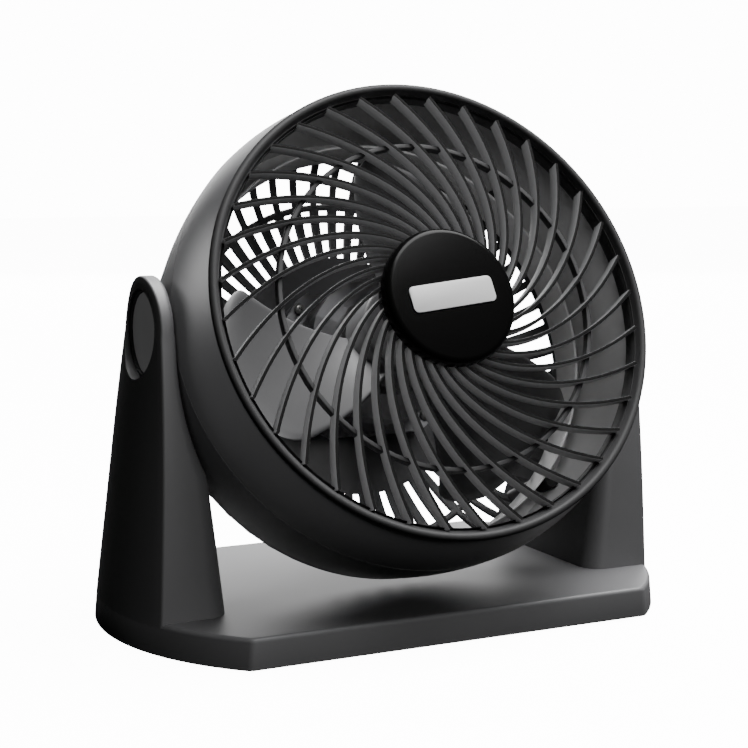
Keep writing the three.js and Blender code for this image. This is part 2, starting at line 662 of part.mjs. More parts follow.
function frontGrille() {
  const beadDepth = LIP_DEPTH - SEAT - BEAD_RADIUS * Math.SQRT1_2;
  const bead = arc(RIM_RADIUS, at(beadDepth), BEAD_RADIUS, -Math.PI / 4, Math.PI, 5);
  const inner = SKIRT_RADIUS - SKIRT_WALL;
  const rim = revolve([
    [SKIRT_RADIUS, at(LIP_DEPTH - SEAT)],
    ...bead.slice(0, -1),
    [inner, at(0)],
    [inner, at(SKIRT_DEPTH)],
    [SKIRT_RADIUS, at(SKIRT_DEPTH)],
  ]);
  const hub = revolve([
    [0, at(-HUB_RISE)],
    [HUB_RADIUS, at(-HUB_RISE)],
    [HUB_RADIUS, at(VANE_WIDTH - VANE_HUB_RISE + MERGE)],
    [HUB_RADIUS - HUB_WALL, at(VANE_WIDTH - VANE_HUB_RISE + MERGE)],
    [HUB_RADIUS - HUB_WALL, at(HUB_WALL - HUB_RISE)],
    [0, at(HUB_WALL - HUB_RISE)],
  ], PART_STEPS);
  const middle = at(VANE_WIDTH - vaneRise(MID_RING_RADIUS));
  const midRing = ring(MID_RING_RADIUS - MID_RING_WALL / 2, MID_RING_RADIUS + MID_RING_WALL / 2,
    middle, middle + MID_RING_WIDTH);
  const vanes = range(VANES).map((i) => vane((FULL_TURN * (i + 0.5)) / VANES));
  return join(rim, hub, midRing, ...vanes);
}

const CAP_REAR = -HUB_RISE - SEAT;
const CAP_FRONT = CAP_REAR - CAP_FACE;

// A rounded rectangle along Z, for the blank badge and its pocket.
function badgeBlock(clearance, low, high) {
  const [w, h] = [BADGE_LENGTH / 2 + clearance, BADGE_HEIGHT / 2 + clearance];
  const r = BADGE_CORNER + clearance;
  const outline = [[1, -1, -1], [1, 1, 0], [-1, 1, 1], [-1, -1, 2]].flatMap(([x, y, quarter]) =>
    arc(x * (w - r), y * (h - r), r, (quarter * Math.PI) / 2, ((quarter + 1) * Math.PI) / 2, 3));
  const shape = new THREE.Shape(outline.map(([x, y]) => new THREE.Vector2(x, y)));
  const extruded = new THREE.ExtrudeGeometry(shape, { depth: high - low, bevelEnabled: false });
  return solid(extruded.translate(0, 0, low).rotateZ(radians(BADGE_TURN)));
}

function hubCap() {
  const face = CAP_RADIUS - CAP_BEVEL;
  const inner = HUB_RADIUS + SEAT;
  const cap = revolve([
    [0, at(CAP_FRONT)],
    [face, at(CAP_FRONT)],
    [CAP_RADIUS, at(CAP_FRONT + CAP_BEVEL)],
    [CAP_RADIUS, at(CAP_REAR + CAP_SKIRT - CAP_FACE)],
    [inner, at(CAP_REAR + CAP_SKIRT - CAP_FACE)],
    [inner, at(CAP_REAR)],
    [0, at(CAP_REAR)],
  ], RING_STEPS);
  return cut(cap, badgeBlock(SEAT, at(CAP_FRONT + BADGE_POCKET), at(CAP_FRONT - SEAT)));
}

const badgePlate = () => {
  const low = at(CAP_FRONT + BADGE_POCKET - SEAT);
  return badgeBlock(0, low, low + BADGE_THICKNESS);
};

// The fan

// One wide blade, from the hub to a rounded tip, pitched from a rear edge to a front edge.
function blade(start) {
  const stations = [0, 0.4, TIP_START, mix(TIP_START, 1, 0.5), mix(TIP_START, 1, 0.8), 1];
  const sections = stations.map((share) => {
    const radius = mix(FAN_HUB_RADIUS - FAN_WALL / 2, BLADE_RADIUS, share);
    const past = Math.max(0, (share - TIP_START) / (1 - TIP_START));
    const spread = radians(BLADE_SPREAD) * mix(1, BLADE_TIP, past * past);
    const middle = start - radians(BLADE_SWEEP) * share;
    const row = (lift) => range(CHORD_STEPS + 1).map((i) => {
      const along = i / CHORD_STEPS;
      const angle = middle + mix(-spread, spread, along);
      const curve = Math.sin(Math.PI * along) * BLADE_CAMBER;
      const depth = mix(BLADE_REAR - BLADE_THICKNESS, BLADE_FRONT, along) + curve * share;
      return new THREE.Vector3(radius * Math.cos(angle), radius * Math.sin(angle), at(depth + lift));
    });
    return [...row(0), ...row(BLADE_THICKNESS).reverse()];
  });
  return stripLoft(sections);
}

// A solid through thin, slightly curved sections: two rows of points, capped strip by strip.
function stripLoft(sections) {
  const count = sections[0].length;
  const faces = [];
  for (let s = 0; s + 1 < sections.length; s++) {
    for (let i = 0; i < count; i++) {
      const a = s * count + i;
      const b = s * count + ((i + 1) % count);
      faces.push(a, b, b + count, a, b + count, a + count);
    }
  }
  const last = (sections.length - 1) * count;
  for (let i = 0; i < count / 2 - 1; i++) {
    const [a, b, c, d] = [i, i + 1, count - 2 - i, count - 1 - i];
    faces.push(a, c, b, a, d, c, last + a, last + b, last + c, last + a, last + c, last + d);
  }
  const geometry = new THREE.BufferGeometry().setFromPoints(sections.flat());
  geometry.setIndex(faces);
  return solid(geometry);
}

function impeller() {
  const bore = SHAFT_RADIUS + SEAT;
  const collar = bore + FAN_WALL;
  const cup = revolve([
    [bore, at(FAN_HUB_FRONT)],
    [FAN_HUB_RADIUS - FAN_WALL, at(FAN_HUB_FRONT)],
    [FAN_HUB_RADIUS, at(FAN_HUB_FRONT + FAN_WALL)],
    [FAN_HUB_RADIUS, at(FAN_HUB_REAR)],
    [FAN_HUB_RADIUS - FAN_WALL, at(FAN_HUB_REAR)],
    [FAN_HUB_RADIUS - FAN_WALL, at(FAN_HUB_FRONT + FAN_WALL)],
    [collar, at(FAN_HUB_FRONT + FAN_WALL)],
    [collar, at(FAN_HUB_REAR)],
    [bore, at(FAN_HUB_REAR)],
  ], PART_STEPS);
  return join(cup, ...range(BLADES).map((i) => blade((FULL_TURN * i) / BLADES + radians(BLADE_PHASE))));
}

function impellerNut() {
  const rear = at(FAN_HUB_FRONT - SEAT);
  const bore = SHAFT_RADIUS + SEAT;
  const front = rear + NUT_LENGTH;
  const face = NUT_RADIUS - NUT_BEVEL;
  const shoulder = [NUT_RADIUS, front - NUT_BEVEL];
  return revolve([[bore, rear], [NUT_RADIUS, rear], shoulder, [face, front], [bore, front]], PART_STEPS);
}

// The motor: two cast end brackets clamp the stator core, and the shaft turns in a bush in each.

// direction is -1 towards the front and 1 towards the rear.
function bracket(direction) {
  const core = direction < 0 ? CORE_FRONT - SEAT : CORE_REAR + SEAT;
  const place = (away) => at(core + direction * away);
  const bore = BUSH_RADIUS + SEAT;
  const wall = BRACKET_WALL;
  const shoulder = MOTOR_RADIUS * BRACKET_SHOULDER;
  const ears = [[EAR_RADIUS, place(0)], [EAR_RADIUS, place(EAR_THICKNESS)]];
  const flange = [...ears, [MOTOR_RADIUS, place(EAR_THICKNESS)]];
  return revolve([
    ...(direction > 0 ? flange : [[MOTOR_RADIUS, place(0)]]),
    [MOTOR_RADIUS, place(BRACKET_LENGTH / 2)],
    [shoulder, place(BRACKET_LENGTH - BUSH_LENGTH / 2)],
    [NOSE_RADIUS, place(BRACKET_LENGTH - BUSH_LENGTH / 2)],
    [NOSE_RADIUS, place(BRACKET_LENGTH)],
    [bore, place(BRACKET_LENGTH)],
    [bore, place(BRACKET_LENGTH - BUSH_LENGTH)],
    [shoulder - wall / 2, place(BRACKET_LENGTH - BUSH_LENGTH)],
    [MOTOR_RADIUS - wall, place((BRACKET_LENGTH - wall) / 2)],
    [MOTOR_RADIUS - wall, place(0)],
  ], PART_STEPS);
}

// The rear bracket's flange is cut back to ears, one for each screw.
function rearBracket() {
  const plane = bracket(1);
  const holes = motorPostPlaces.map(([x, y]) =>
    rod(SCREW_RADIUS + SLIP, at(DOME_END), at(0), SCREW_STEPS, x, y));
  const notches = range(MOTOR_POSTS).map((i) => {
    const notch = new THREE.BoxGeometry(EAR_RADIUS, EAR_RADIUS, BRACKET_LENGTH);
    notch.translate(MOTOR_RADIUS + MERGE + EAR_RADIUS / 2, 0, at(CORE_REAR + BRACKET_LENGTH / 2));
    return solid(notch.rotateZ((FULL_TURN * i) / MOTOR_POSTS));
  });
  return cut(plane, ...holes, ...notches);
}

function bush(direction) {
  const core = direction < 0 ? CORE_FRONT - SEAT : CORE_REAR + SEAT;
  const [near, far] = [BRACKET_LENGTH - BUSH_LENGTH, BRACKET_LENGTH].map((v) => at(core + direction * v));
  return ring(SHAFT_RADIUS + SEAT, BUSH_RADIUS, Math.min(near, far), Math.max(near, far), PART_STEPS / 2);
}

function winding(direction) {
  const core = direction < 0 ? CORE_FRONT - SEAT : CORE_REAR + SEAT;
  const [near, far] = [0, WINDING_LENGTH].map((v) => at(core + direction * v));
  const shoulder = far + direction * WINDING_BEVEL;
  return revolve([
    [WINDING_INNER, near],
    [WINDING_OUTER, near],
    [WINDING_OUTER, shoulder],
    [WINDING_OUTER - WINDING_BEVEL, far],
    [WINDING_INNER + WINDING_BEVEL, far],
    [WINDING_INNER, shoulder],
  ], PART_STEPS);
}

const SHAFT_REAR = CORE_REAR + SEAT + BRACKET_LENGTH;

// The rear cover, with the switch inside and the knob outside
const COVER_FRONT = DOME_END + SEAT;
const COVER_REAR = COVER_FRONT + COVER_DEPTH;

function motorCover() {
  const inner = COVER_RADIUS - COVER_WALL;
  const cup = revolve([
    [SPINDLE_RADIUS + SLIP, at(COVER_REAR)],
    [COVER_RADIUS - COVER_WALL, at(COVER_REAR)],
    [COVER_RADIUS, at(COVER_REAR - COVER_WALL)],
    [COVER_RADIUS, at(COVER_FRONT + COVER_WALL)],
    [COVER_FLANGE, at(COVER_FRONT + COVER_WALL)],
    [COVER_FLANGE, at(COVER_FRONT)],
    [inner, at(COVER_FRONT)],
    [inner, at(COVER_REAR - COVER_WALL)],
    [SPINDLE_RADIUS + SLIP, at(COVER_REAR - COVER_WALL)],
  ], PART_STEPS);
  const inlet = rod(GLAND_RADIUS + SEAT, at(COVER_REAR + SEAT), at(COVER_FRONT), SMALL_STEPS,
    0, -GLAND_PLACE);
  const holes = coverScrewPlaces.map(([x, y]) =>
    rod(SCREW_RADIUS + SLIP, at(COVER_REAR), at(DOME_END), SCREW_STEPS, x, y));
  return cut(cup, inlet, ...holes);
}

function cordGland() {
  const flange = GLAND_RADIUS + GLAND_FLANGE;
  const outside = at(COVER_REAR + SEAT);
  const gland = revolve([
    [GLAND_BORE, outside - GLAND_FLANGE * 2],
    [flange - GLAND_FLANGE / 2, outside - GLAND_FLANGE * 2],
    [flange, outside - GLAND_FLANGE],
    [flange, outside],
    [GLAND_RADIUS, outside],
    [GLAND_RADIUS, at(COVER_REAR - COVER_WALL - GLAND_FLANGE)],
    [GLAND_BORE, at(COVER_REAR - COVER_WALL - GLAND_FLANGE)],
  ], SMALL_STEPS);
  return gland.translate([0, -GLAND_PLACE, 0]);
}

const SWITCH_REAR = COVER_REAR - COVER_WALL - SEAT;
const SPINDLE_FRONT = SWITCH_REAR - SWITCH_LENGTH + SWITCH_FLOOR + SEAT;

function speedSwitch() {
  const half = SWITCH_SIZE / 2;
  const body = block([-half, -half, at(SWITCH_REAR)], [half, half, at(SWITCH_REAR - SWITCH_LENGTH)]);
  return cut(body, rod(SPINDLE_RADIUS + SLIP, at(SWITCH_REAR + SEAT), at(SPINDLE_FRONT - SEAT)));
}

const KNOB_FRONT = COVER_REAR + SLIP;
const SPINDLE_REAR = KNOB_FRONT + KNOB_LENGTH - FAN_WALL - SEAT;

function speedKnob() {
  const rear = KNOB_FRONT + KNOB_LENGTH;
  const body = revolve([
    [0, at(KNOB_FRONT)],
    [KNOB_RADIUS, at(KNOB_FRONT)],
    [KNOB_RADIUS, at(KNOB_FRONT + KNOB_BODY - KNOB_BEVEL)],
    [KNOB_RADIUS - KNOB_BEVEL, at(KNOB_FRONT + KNOB_BODY)],
    [0, at(KNOB_FRONT + KNOB_BODY)],
  ], KNOB_STEPS);
  const half = KNOB_GRIP / 2;
  const reach = KNOB_RADIUS - KNOB_BEVEL;
  const grip = block([-half, -reach, at(rear)], [half, reach, at(KNOB_FRONT + KNOB_BODY - MERGE)]);
  const bore = rod(SPINDLE_RADIUS + SEAT, at(SPINDLE_REAR + SEAT), at(KNOB_FRONT - SEAT));
  return cut(join(body, grip), bore);
}

// A pan-head screw whose head rests on a face at seat, and whose shank runs towards direction.
function screw(seat, direction, length, x, y) {
  const under = seat - direction * SEAT;
  const top = under - direction * SCREW_HEAD_LENGTH;
  const tip = seat + direction * length;
  const shank = [[0, tip], [SCREW_RADIUS, tip], [SCREW_RADIUS, under]];
  const panHead = [[SCREW_HEAD, under], [SCREW_HEAD, top], [0, top]];
  return revolve([...shank, ...panHead], SCREW_STEPS).translate([x, y, 0]);
}

// The round cap in an arm's recess, with a stem that plugs into the trunnion.
function pivotCap(side) {
  const face = RECESS_RADIUS - RECESS_STEP - SLIP;
  const rodAt = (radius, from, to, steps) => crossRod(radius, side * from, side * to, HEAD_DROP, 0, steps);
  return join(
    rodAt(face, CAP_FACE_INNER, CAP_FACE_INNER + CAP_THICKNESS, PART_STEPS),
    rodAt(CAP_STEM_RADIUS, CAP_STEM_END, CAP_FACE_INNER + MERGE, SMALL_STEPS));
}

// Assembly
const fan = new THREE.Group();
const head = new THREE.Group();
head.rotation.x = Math.PI / 2 - radians(TILT);
const drop = new THREE.Vector3(0, -HEAD_DROP, 0).applyEuler(head.rotation);
head.position.set(0, drop.y, PIVOT_HEIGHT + drop.z);
fan.add(head);

function piece(group, name, shape, material) {
  const mesh = new THREE.Mesh(geometryOf(shape), material);
  mesh.name = name;
  group.add(mesh);
}

piece(fan, "stand_shell", standShell(), satinBlack);
piece(fan, "bottom_plate", bottomPlate(), innerBlack);
baseScrewPlaces.forEach(([x, y], i) => {
  piece(fan, `base_screw_${i + 1}`, screw(PLATE_LOW, 1, BASE_SCREW_LENGTH, x, y), steel);
  const [footX, footY] = [Math.sign(x) * FOOT_X, STAND_SETBACK + Math.sign(y - STAND_SETBACK) * FOOT_Y];
  piece(fan, `foot_${i + 1}`, rod(FOOT_RADIUS, 0, PLATE_LOW - SEAT, SMALL_STEPS, footX, footY), rubber);
});
for (const [side, word] of [[-1, "left"], [1, "right"]]) {
  const low = side * (PAD_FACE + SEAT);
  const high = low + side * WASHER_THICKNESS;
  const washer = cut(
    crossRod(WASHER_RADIUS, low, high, 0, PIVOT_HEIGHT),
    crossRod(TRUNNION_RADIUS + SLIP, low - side, high + side, 0, PIVOT_HEIGHT));
  piece(fan, `friction_washer_${word}`, washer, paleNylon);
  piece(head, `pivot_cap_${word}`, pivotCap(side), satinBlack);
}

piece(head, "front_grille", frontGrille(), satinBlack);
piece(head, "hub_cap", hubCap(), glossBlack);
piece(head, "badge_plate", badgePlate(), badgeGrey);
piece(head, "front_shell", frontShell(), satinBlack);
piece(head, "rear_shell", rearShell(), innerBlack);
piece(head, "inner_duct", innerDuct(), innerBlack);
postPlaces.forEach(([x, y], i) =>
  piece(head, `shell_screw_${i + 1}`, screw(at(POST_SHOULDER), 1, SHELL_SCREW_LENGTH, x, y), steel));

piece(head, "motor_front_bracket", bracket(-1), zincPlate);
piece(head, "motor_rear_bracket", rearBracket(), zincPlate);
piece(head, "stator_core", ring(CORE_BORE, MOTOR_RADIUS, at(CORE_REAR), at(CORE_FRONT), PART_STEPS), steel);
piece(head, "winding_front", winding(-1), copper);
piece(head, "winding_rear", winding(1), copper);
piece(head, "bearing_front", bush(-1), bronze);
piece(head, "bearing_rear", bush(1), bronze);
motorPostPlaces.forEach(([x, y], i) =>
  piece(head, `motor_screw_${i + 1}`, screw(at(CORE_REAR + SEAT), -1, MOTOR_SCREW_LENGTH, x, y), steel));

piece(head, "motor_cover", motorCover(), satinBlack);
coverScrewPlaces.forEach(([x, y], i) => {
  const seat = at(COVER_FRONT + COVER_WALL);
  piece(head, `cover_screw_${i + 1}`, screw(seat, 1, COVER_SCREW_LENGTH, x, y), steel);
});
piece(head, "speed_switch", speedSwitch(), paleNylon);
piece(head, "cord_gland", cordGland(), rubber);

piece(head, "motor_shaft", rod(SHAFT_RADIUS, at(SHAFT_REAR), at(SHAFT_FRONT)), steel);
const ROTOR_HALF = ROTOR_LENGTH / 2;
const rotor = ring(SHAFT_RADIUS + SEAT, CORE_BORE - ROTOR_GAP, at(MOTOR_MIDDLE + ROTOR_HALF),
  at(MOTOR_MIDDLE - ROTOR_HALF), PART_STEPS);
piece(head, "rotor_core", rotor, zincPlate);
piece(head, "impeller", impeller(), innerBlack);
piece(head, "impeller_nut", impellerNut(), innerBlack);

piece(head, "speed_knob", speedKnob(), satinBlack);
piece(head, "switch_spindle", rod(SPINDLE_RADIUS, at(SPINDLE_REAR), at(SPINDLE_FRONT)), steel);

// The origin is on the table, under the middle of the whole fan.
const extent = new THREE.Box3().setFromObject(fan, true);
fan.position.set(-(extent.min.x + extent.max.x) / 2, -(extent.min.y + extent.max.y) / 2, -extent.min.z);

const whole = new THREE.Group();
whole.add(fan);
export default whole;
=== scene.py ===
# A table-top air circulator: a round tilting head with a swirl grille, held between the arms of a U-shaped
# stand. Metres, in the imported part's own frame: +Z up, -Y out of the grille, X along the tilt axis.
import json
import math

import bmesh
import bpy
import numpy as np
from mathutils import Matrix, Vector


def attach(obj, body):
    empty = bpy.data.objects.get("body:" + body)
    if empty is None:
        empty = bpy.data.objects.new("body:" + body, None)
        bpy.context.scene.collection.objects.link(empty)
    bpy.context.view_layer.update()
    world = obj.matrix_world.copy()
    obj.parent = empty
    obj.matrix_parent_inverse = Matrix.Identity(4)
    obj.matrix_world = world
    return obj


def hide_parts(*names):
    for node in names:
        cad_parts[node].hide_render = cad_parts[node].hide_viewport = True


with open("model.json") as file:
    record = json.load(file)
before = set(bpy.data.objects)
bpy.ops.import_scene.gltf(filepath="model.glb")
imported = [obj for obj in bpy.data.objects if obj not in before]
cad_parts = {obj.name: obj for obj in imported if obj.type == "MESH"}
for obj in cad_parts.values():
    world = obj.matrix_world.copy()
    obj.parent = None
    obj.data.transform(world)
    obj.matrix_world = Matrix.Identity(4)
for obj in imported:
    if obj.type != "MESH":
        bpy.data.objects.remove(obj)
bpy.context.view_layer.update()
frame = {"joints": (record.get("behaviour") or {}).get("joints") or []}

# The camera stands low, a little to the left of the fan's front, with a long lens. Its place, its turn and
# its shift were fitted to the rim, the tilt axis and the corners of the stand.
CAMERA_PLACE = Vector((-0.3681, -0.7567, 0.2228))
CAMERA_AZIMUTH = math.radians(-26.26)
CAMERA_ELEVATION = math.radians(6.73)
CAMERA_ROLL = math.radians(-0.11)
CAMERA_LENS = 82.42  # in millimetres, as the sensor is
SENSOR_WIDTH = 36
CAMERA_SHIFT = (-0.0290, -0.0148)


def placed(name, data):
    """An object with this data, put in the scene."""
    made = bpy.data.objects.new(name, data)
    bpy.context.scene.collection.objects.link(made)
    return made


def camera_turn():
    back = Vector((math.sin(CAMERA_AZIMUTH) * math.cos(CAMERA_ELEVATION),
                   -math.cos(CAMERA_AZIMUTH) * math.cos(CAMERA_ELEVATION),
                   math.sin(CAMERA_ELEVATION)))
    right = Vector((math.cos(CAMERA_AZIMUTH), math.sin(CAMERA_AZIMUTH), 0))
    level = Matrix((right, back.cross(right), back)).transposed()
    return level @ Matrix.Rotation(CAMERA_ROLL, 3, "Z")


camera_data = bpy.data.cameras.new("camera")
camera_data.lens = CAMERA_LENS
camera_data.sensor_width = SENSOR_WIDTH
camera_data.shift_x, camera_data.shift_y = CAMERA_SHIFT
camera = placed("camera", camera_data)
camera.matrix_world = Matrix.Translation(CAMERA_PLACE) @ camera_turn().to_4x4()
bpy.context.scene.camera = camera

# The studio: a pale floor, a pale background that only the camera sees, and soft boxes. Dark plastic shows
# little but their reflection, so most of them light only the group of pieces that light_with gives them.
FLOOR_SIZE = 12.0
FLOOR_SHADE = (0.93, 0.93, 0.93, 1)
ROOM_SHADE = (0.012, 0.012, 0.012, 1)  # what lights the fan where no box does, from the room and the floor
BACKDROP_SHADE = (1.0, 1.0, 1.0, 1)
BACKDROP_STRENGTH = 14.0  # what the camera sees; nothing is lit by it
LOOK_AT = Vector((0, 0, 0.13))


def add_node(tree, kind, inputs, **settings):
    """A node with these settings, each input given a value or joined to a socket."""
    node = tree.nodes.new(kind)
    for name, value in settings.items():
        setattr(node, name, value)
    for key, value in inputs.items():
        if isinstance(value, bpy.types.NodeSocket):
            tree.links.new(value, node.inputs[key])
        else:
            node.inputs[key].default_value = value
    return node


def camera_sees(tree, seen, unseen, surface):
    """Shows one shader to the camera, and the other to every other ray."""
    path = tree.nodes.new("ShaderNodeLightPath")
    mix = add_node(tree, "ShaderNodeMixShader", {0: path.outputs["Is Camera Ray"], 1: unseen.outputs[0],
                                                 2: seen.outputs[0]})
    tree.links.new(mix.outputs[0], surface)


def studio_world():
    world = bpy.data.worlds.new("studio")
    world.use_nodes = True
    tree = world.node_tree
    room = tree.nodes["Background"]
    room.inputs["Color"].default_value = ROOM_SHADE
    backdrop = add_node(tree, "ShaderNodeBackground", {"Color": BACKDROP_SHADE, "Strength": BACKDROP_STRENGTH})
    camera_sees(tree, backdrop, room, tree.nodes["World Output"].inputs["Surface"])
    return world


def floor_finish():
    material = bpy.data.materials.new("floor_paper")
    material.use_nodes = True
    tree = material.node_tree
    paper = tree.nodes["Principled BSDF"]
    paper.inputs["Base Color"].default_value = FLOOR_SHADE
    paper.inputs["Roughness"].default_value = 0.9
    paper.inputs["Emission Color"].default_value = BACKDROP_SHADE
    paper.inputs["Emission Strength"].default_value = BACKDROP_STRENGTH - 1
    grey = add_node(tree, "ShaderNodeBsdfDiffuse", {"Color": ROOM_SHADE})
    camera_sees(tree, paper, grey, tree.nodes["Material Output"].inputs["Surface"])
    return material


def soft_box(name, place, size, power):
    light = bpy.data.lights.new(name, "AREA")
    light.shape = "RECTANGLE"
    light.size, light.size_y = size
    light.energy = power
    box = placed(name, light)
    turn = (Vector(place) - LOOK_AT).to_track_quat("Z", "Y")
    box.matrix_world = Matrix.Translation(place) @ turn.to_matrix().to_4x4()
    return box


def light_with(boxes, piece):
    """Lets these boxes light this piece, and none that isn't given to them."""
    for box in boxes:
        linking = box.light_linking
        if not linking.receiver_collection:
            linking.receiver_collection = bpy.data.collections.new("lit_by_" + box.name)
        linking.receiver_collection.objects.link(piece)


bpy.context.scene.world = studio_world()
floor_mesh = bpy.data.meshes.new("floor")
floor_corners = [(x * FLOOR_SIZE / 2, y * FLOOR_SIZE / 2, 0) for x, y in ((-1, -1), (1, -1), (1, 1), (-1, 1))]
floor_mesh.from_pydata(floor_corners, [], [(0, 1, 2, 3)])
floor_mesh.materials.append(floor_finish())
floor = placed("floor", floor_mesh)

top_box = soft_box("box_above", (0.5, -0.35, 1.5), (1.4, 1.0), 58)
soft_box("box_behind", (1.0, 2.2, 0.85), (2.4, 1.2), 42)
stand_boxes = [soft_box("box_over_stand", (0.4, 0.3, 1.6), (1.4, 1.0), 110),
               soft_box("box_ahead", (0.0, -1.9, 0.5), (0.4, 0.5), 14)]
head_boxes = [soft_box("box_behind_left", (-1.6, 1.4, 0.8), (1.0, 0.8), 20),
              soft_box("box_front_right", (0.95, -1.6, 0.6), (0.9, 0.8), 17),
              soft_box("box_front_left", (-0.75, -1.1, 0.85), (0.8, 0.5), 18)]
vane_boxes = [soft_box("box_low_front", (-0.75, -1.2, 0.16), (1.2, 0.3), 4)]
blade_boxes = [soft_box("box_blades", (-0.15, 0.4, 1.5), (0.8, 0.6), 70)]
cap_boxes = [soft_box("box_left", (-1.5, -0.4, 0.5), (0.5, 0.5), 9)]

# The stand is one hollow moulding in satin black: a flat slab with bowed sides, and an arm rising from each
# side, whose outer face carries on the side of the slab. A round recess near each arm's top covers the joint.
STAND_WIDTH = 0.2846
STAND_DEPTH = 0.178
STAND_SIDE_RADIUS = 0.1215
STAND_CORNER_RADIUS = 0.005
STAND_LEAST_CORNER = 0.0008
STAND_SETBACK = 0.0147  # middle of the stand behind the tilt axis
STAND_TOP = 0.0158
STAND_EDGE_RADIUS = 0.002
STAND_WALL = 0.0026
SKIRT_LIFT = 0.0012
SKIRT_EDGE_RADIUS = 0.0007
PIVOT_HEIGHT = 0.144
ARM_TOP_RADIUS = 0.0268
ARM_LEAN = 0.0134
ARM_FOOT_FRONT = 0.0343
ARM_FOOT_REAR = 0.075
ARM_FOOT_SPAN = 0.097
ARM_INNER_SLOPE = 0.13
ARM_GAP = 0.0011
ARM_FRONT_CORNER = 0.32  # share of the arm's thickness
ARM_REAR_CORNER = 0.12
ARM_EDGE_RADIUS = 0.0009
RECESS_RADIUS = 0.0207
RECESS_STEP = 0.0011
RECESS_STEP_DEPTH = 0.0032
RECESS_CHAMFER = 0.0002
RECESS_FLOOR = 0.1223  # from the middle of the fan
POCKET_FLOOR = 0.1199
POCKET_RADIUS = 0.0124
TRUNNION_HOLE = 0.0069
HEAD_DROP = 0.0095
BELLY_RADIUS = 0.1176
SATIN_BLACK = (0.075, 0.075, 0.077, 1)
GRAIN_SIZE = 0.0004
SHARP_TURN = 32  # degrees
tilt_axis = Vector(next(j["pos_m"] for j in frame["joints"] if j["name"] == "head_tilt"))
pivot = Vector((0, tilt_axis.y, PIVOT_HEIGHT))


def new_socket(tree, name, kind, value=None, direction="INPUT"):
    socket = tree.interface.new_socket(name=name, in_out=direction, socket_type="NodeSocket" + kind)
    if value is not None:
        socket.default_value = value
    return socket


def math_node(tree, operation, *values):
    return add_node(tree, "ShaderNodeMath", dict(enumerate(values)), operation=operation).outputs[0]


# Moulded plastic has a fine spark-eroded grain, faint flow marks, and a gloss that changes a little.
def moulded_grain_group():
    tree = bpy.data.node_groups.new("moulded_grain", "ShaderNodeTree")
    for name, value in (("Grain Size", GRAIN_SIZE), ("Gloss", 0.4), ("Gloss Change", 0.06)):
        new_socket(tree, name, "Float", value)
    new_socket(tree, "Shade", "Color", SATIN_BLACK)
    for name, kind in (("Colour", "Color"), ("Roughness", "Float"), ("Height", "Float")):
        new_socket(tree, name, kind, direction="OUTPUT")
    given = tree.nodes.new("NodeGroupInput").outputs
    place = tree.nodes.new("ShaderNodeTexCoord").outputs["Object"]
    fineness = math_node(tree, "DIVIDE", 1, given["Grain Size"])
    grain = add_node(tree, "ShaderNodeTexNoise", {"Vector": place, "Scale": fineness, "Detail": 2})
    flow = add_node(tree, "ShaderNodeTexNoise", {"Vector": place, "Scale": 22, "Detail": 4})
    spread = math_node(tree, "SUBTRACT", flow.outputs["Fac"], 0.5)
    gloss = math_node(tree, "MULTIPLY_ADD", spread, given["Gloss Change"], given["Gloss"])
    tone = math_node(tree, "MULTIPLY_ADD", spread, 0.25, 1)
    tint = add_node(tree, "ShaderNodeVectorMath", {0: given["Shade"], "Scale": tone}, operation="SCALE")
    add_node(tree, "NodeGroupOutput", {"Colour": tint.outputs["Vector"], "Roughness": gloss,
                                       "Height": grain.outputs["Fac"]})
    return tree


moulded_grain = moulded_grain_group()


def moulded(name, shade, gloss, grain_size=GRAIN_SIZE, relief=0.00003, change=0.06, metal=0.0, specular=0.5):
    """A material of moulded plastic, or with metal at 1 of cast or plated metal."""
    material = bpy.data.materials.new(name)
    material.use_nodes = True
    tree = material.node_tree
    shader = tree.nodes["Principled BSDF"]
    shader.inputs["Metallic"].default_value = metal
    shader.inputs["Specular IOR Level"].default_value = specular
    given = {"Grain Size": grain_size, "Gloss": gloss, "Gloss Change": change, "Shade": shade}
    grain = add_node(tree, "ShaderNodeGroup", given, node_tree=moulded_grain)
    bump = add_node(tree, "ShaderNodeBump",
                    {"Strength": 0.35, "Distance": relief, "Height": grain.outputs["Height"]})
    tree.links.new(grain.outputs["Colour"], shader.inputs["Base Color"])
    tree.links.new(grain.outputs["Roughness"], shader.inputs["Roughness"])
    tree.links.new(bump.outputs["Normal"], shader.inputs["Normal"])
    return material


def shade(piece, sharp=SHARP_TURN):
    """Shades a piece smooth, except where it turns sharply."""
    piece.data.shade_smooth()
    piece.data.set_sharp_from_angle(angle=math.radians(sharp))
    return piece


def piece_of(name, points, faces, material, sharp=SHARP_TURN):
    """A closed piece whose faces point outwards."""
    mesh = bpy.data.meshes.new(name)
    mesh.from_pydata([tuple(p) for p in points], [], faces)
    work = bmesh.new()
    work.from_mesh(mesh)
    bmesh.ops.remove_doubles(work, verts=work.verts, dist=1e-6)
    bmesh.ops.dissolve_degenerate(work, edges=work.edges, dist=1e-7)
    bmesh.ops.recalc_face_normals(work, faces=work.faces)
    work.to_mesh(mesh)
    work.free()
    mesh.materials.append(material)
    return shade(placed(name, mesh), sharp)


def grid_faces(rows, columns, closed=True):
    """Quads between rows of points that lie one after another, each row a closed loop or an open one."""
    faces = []
    for row in range(rows - 1):
        for column in range(columns if closed else columns - 1):
            a, b = row * columns + column, row * columns + (column + 1) % columns
            faces.append((a, b, b + columns, a + columns))
    return faces


def skinned(name, loops, material):
    """A closed piece skinned over loops of points, with a flat face at each end."""
    count, last = len(loops[0]), (len(loops) - 1) * len(loops[0])
    ends = [tuple(range(count)), tuple(range(last, last + count))]
    return piece_of(name, [p for loop in loops for p in loop], grid_faces(len(loops), count) + ends, material)


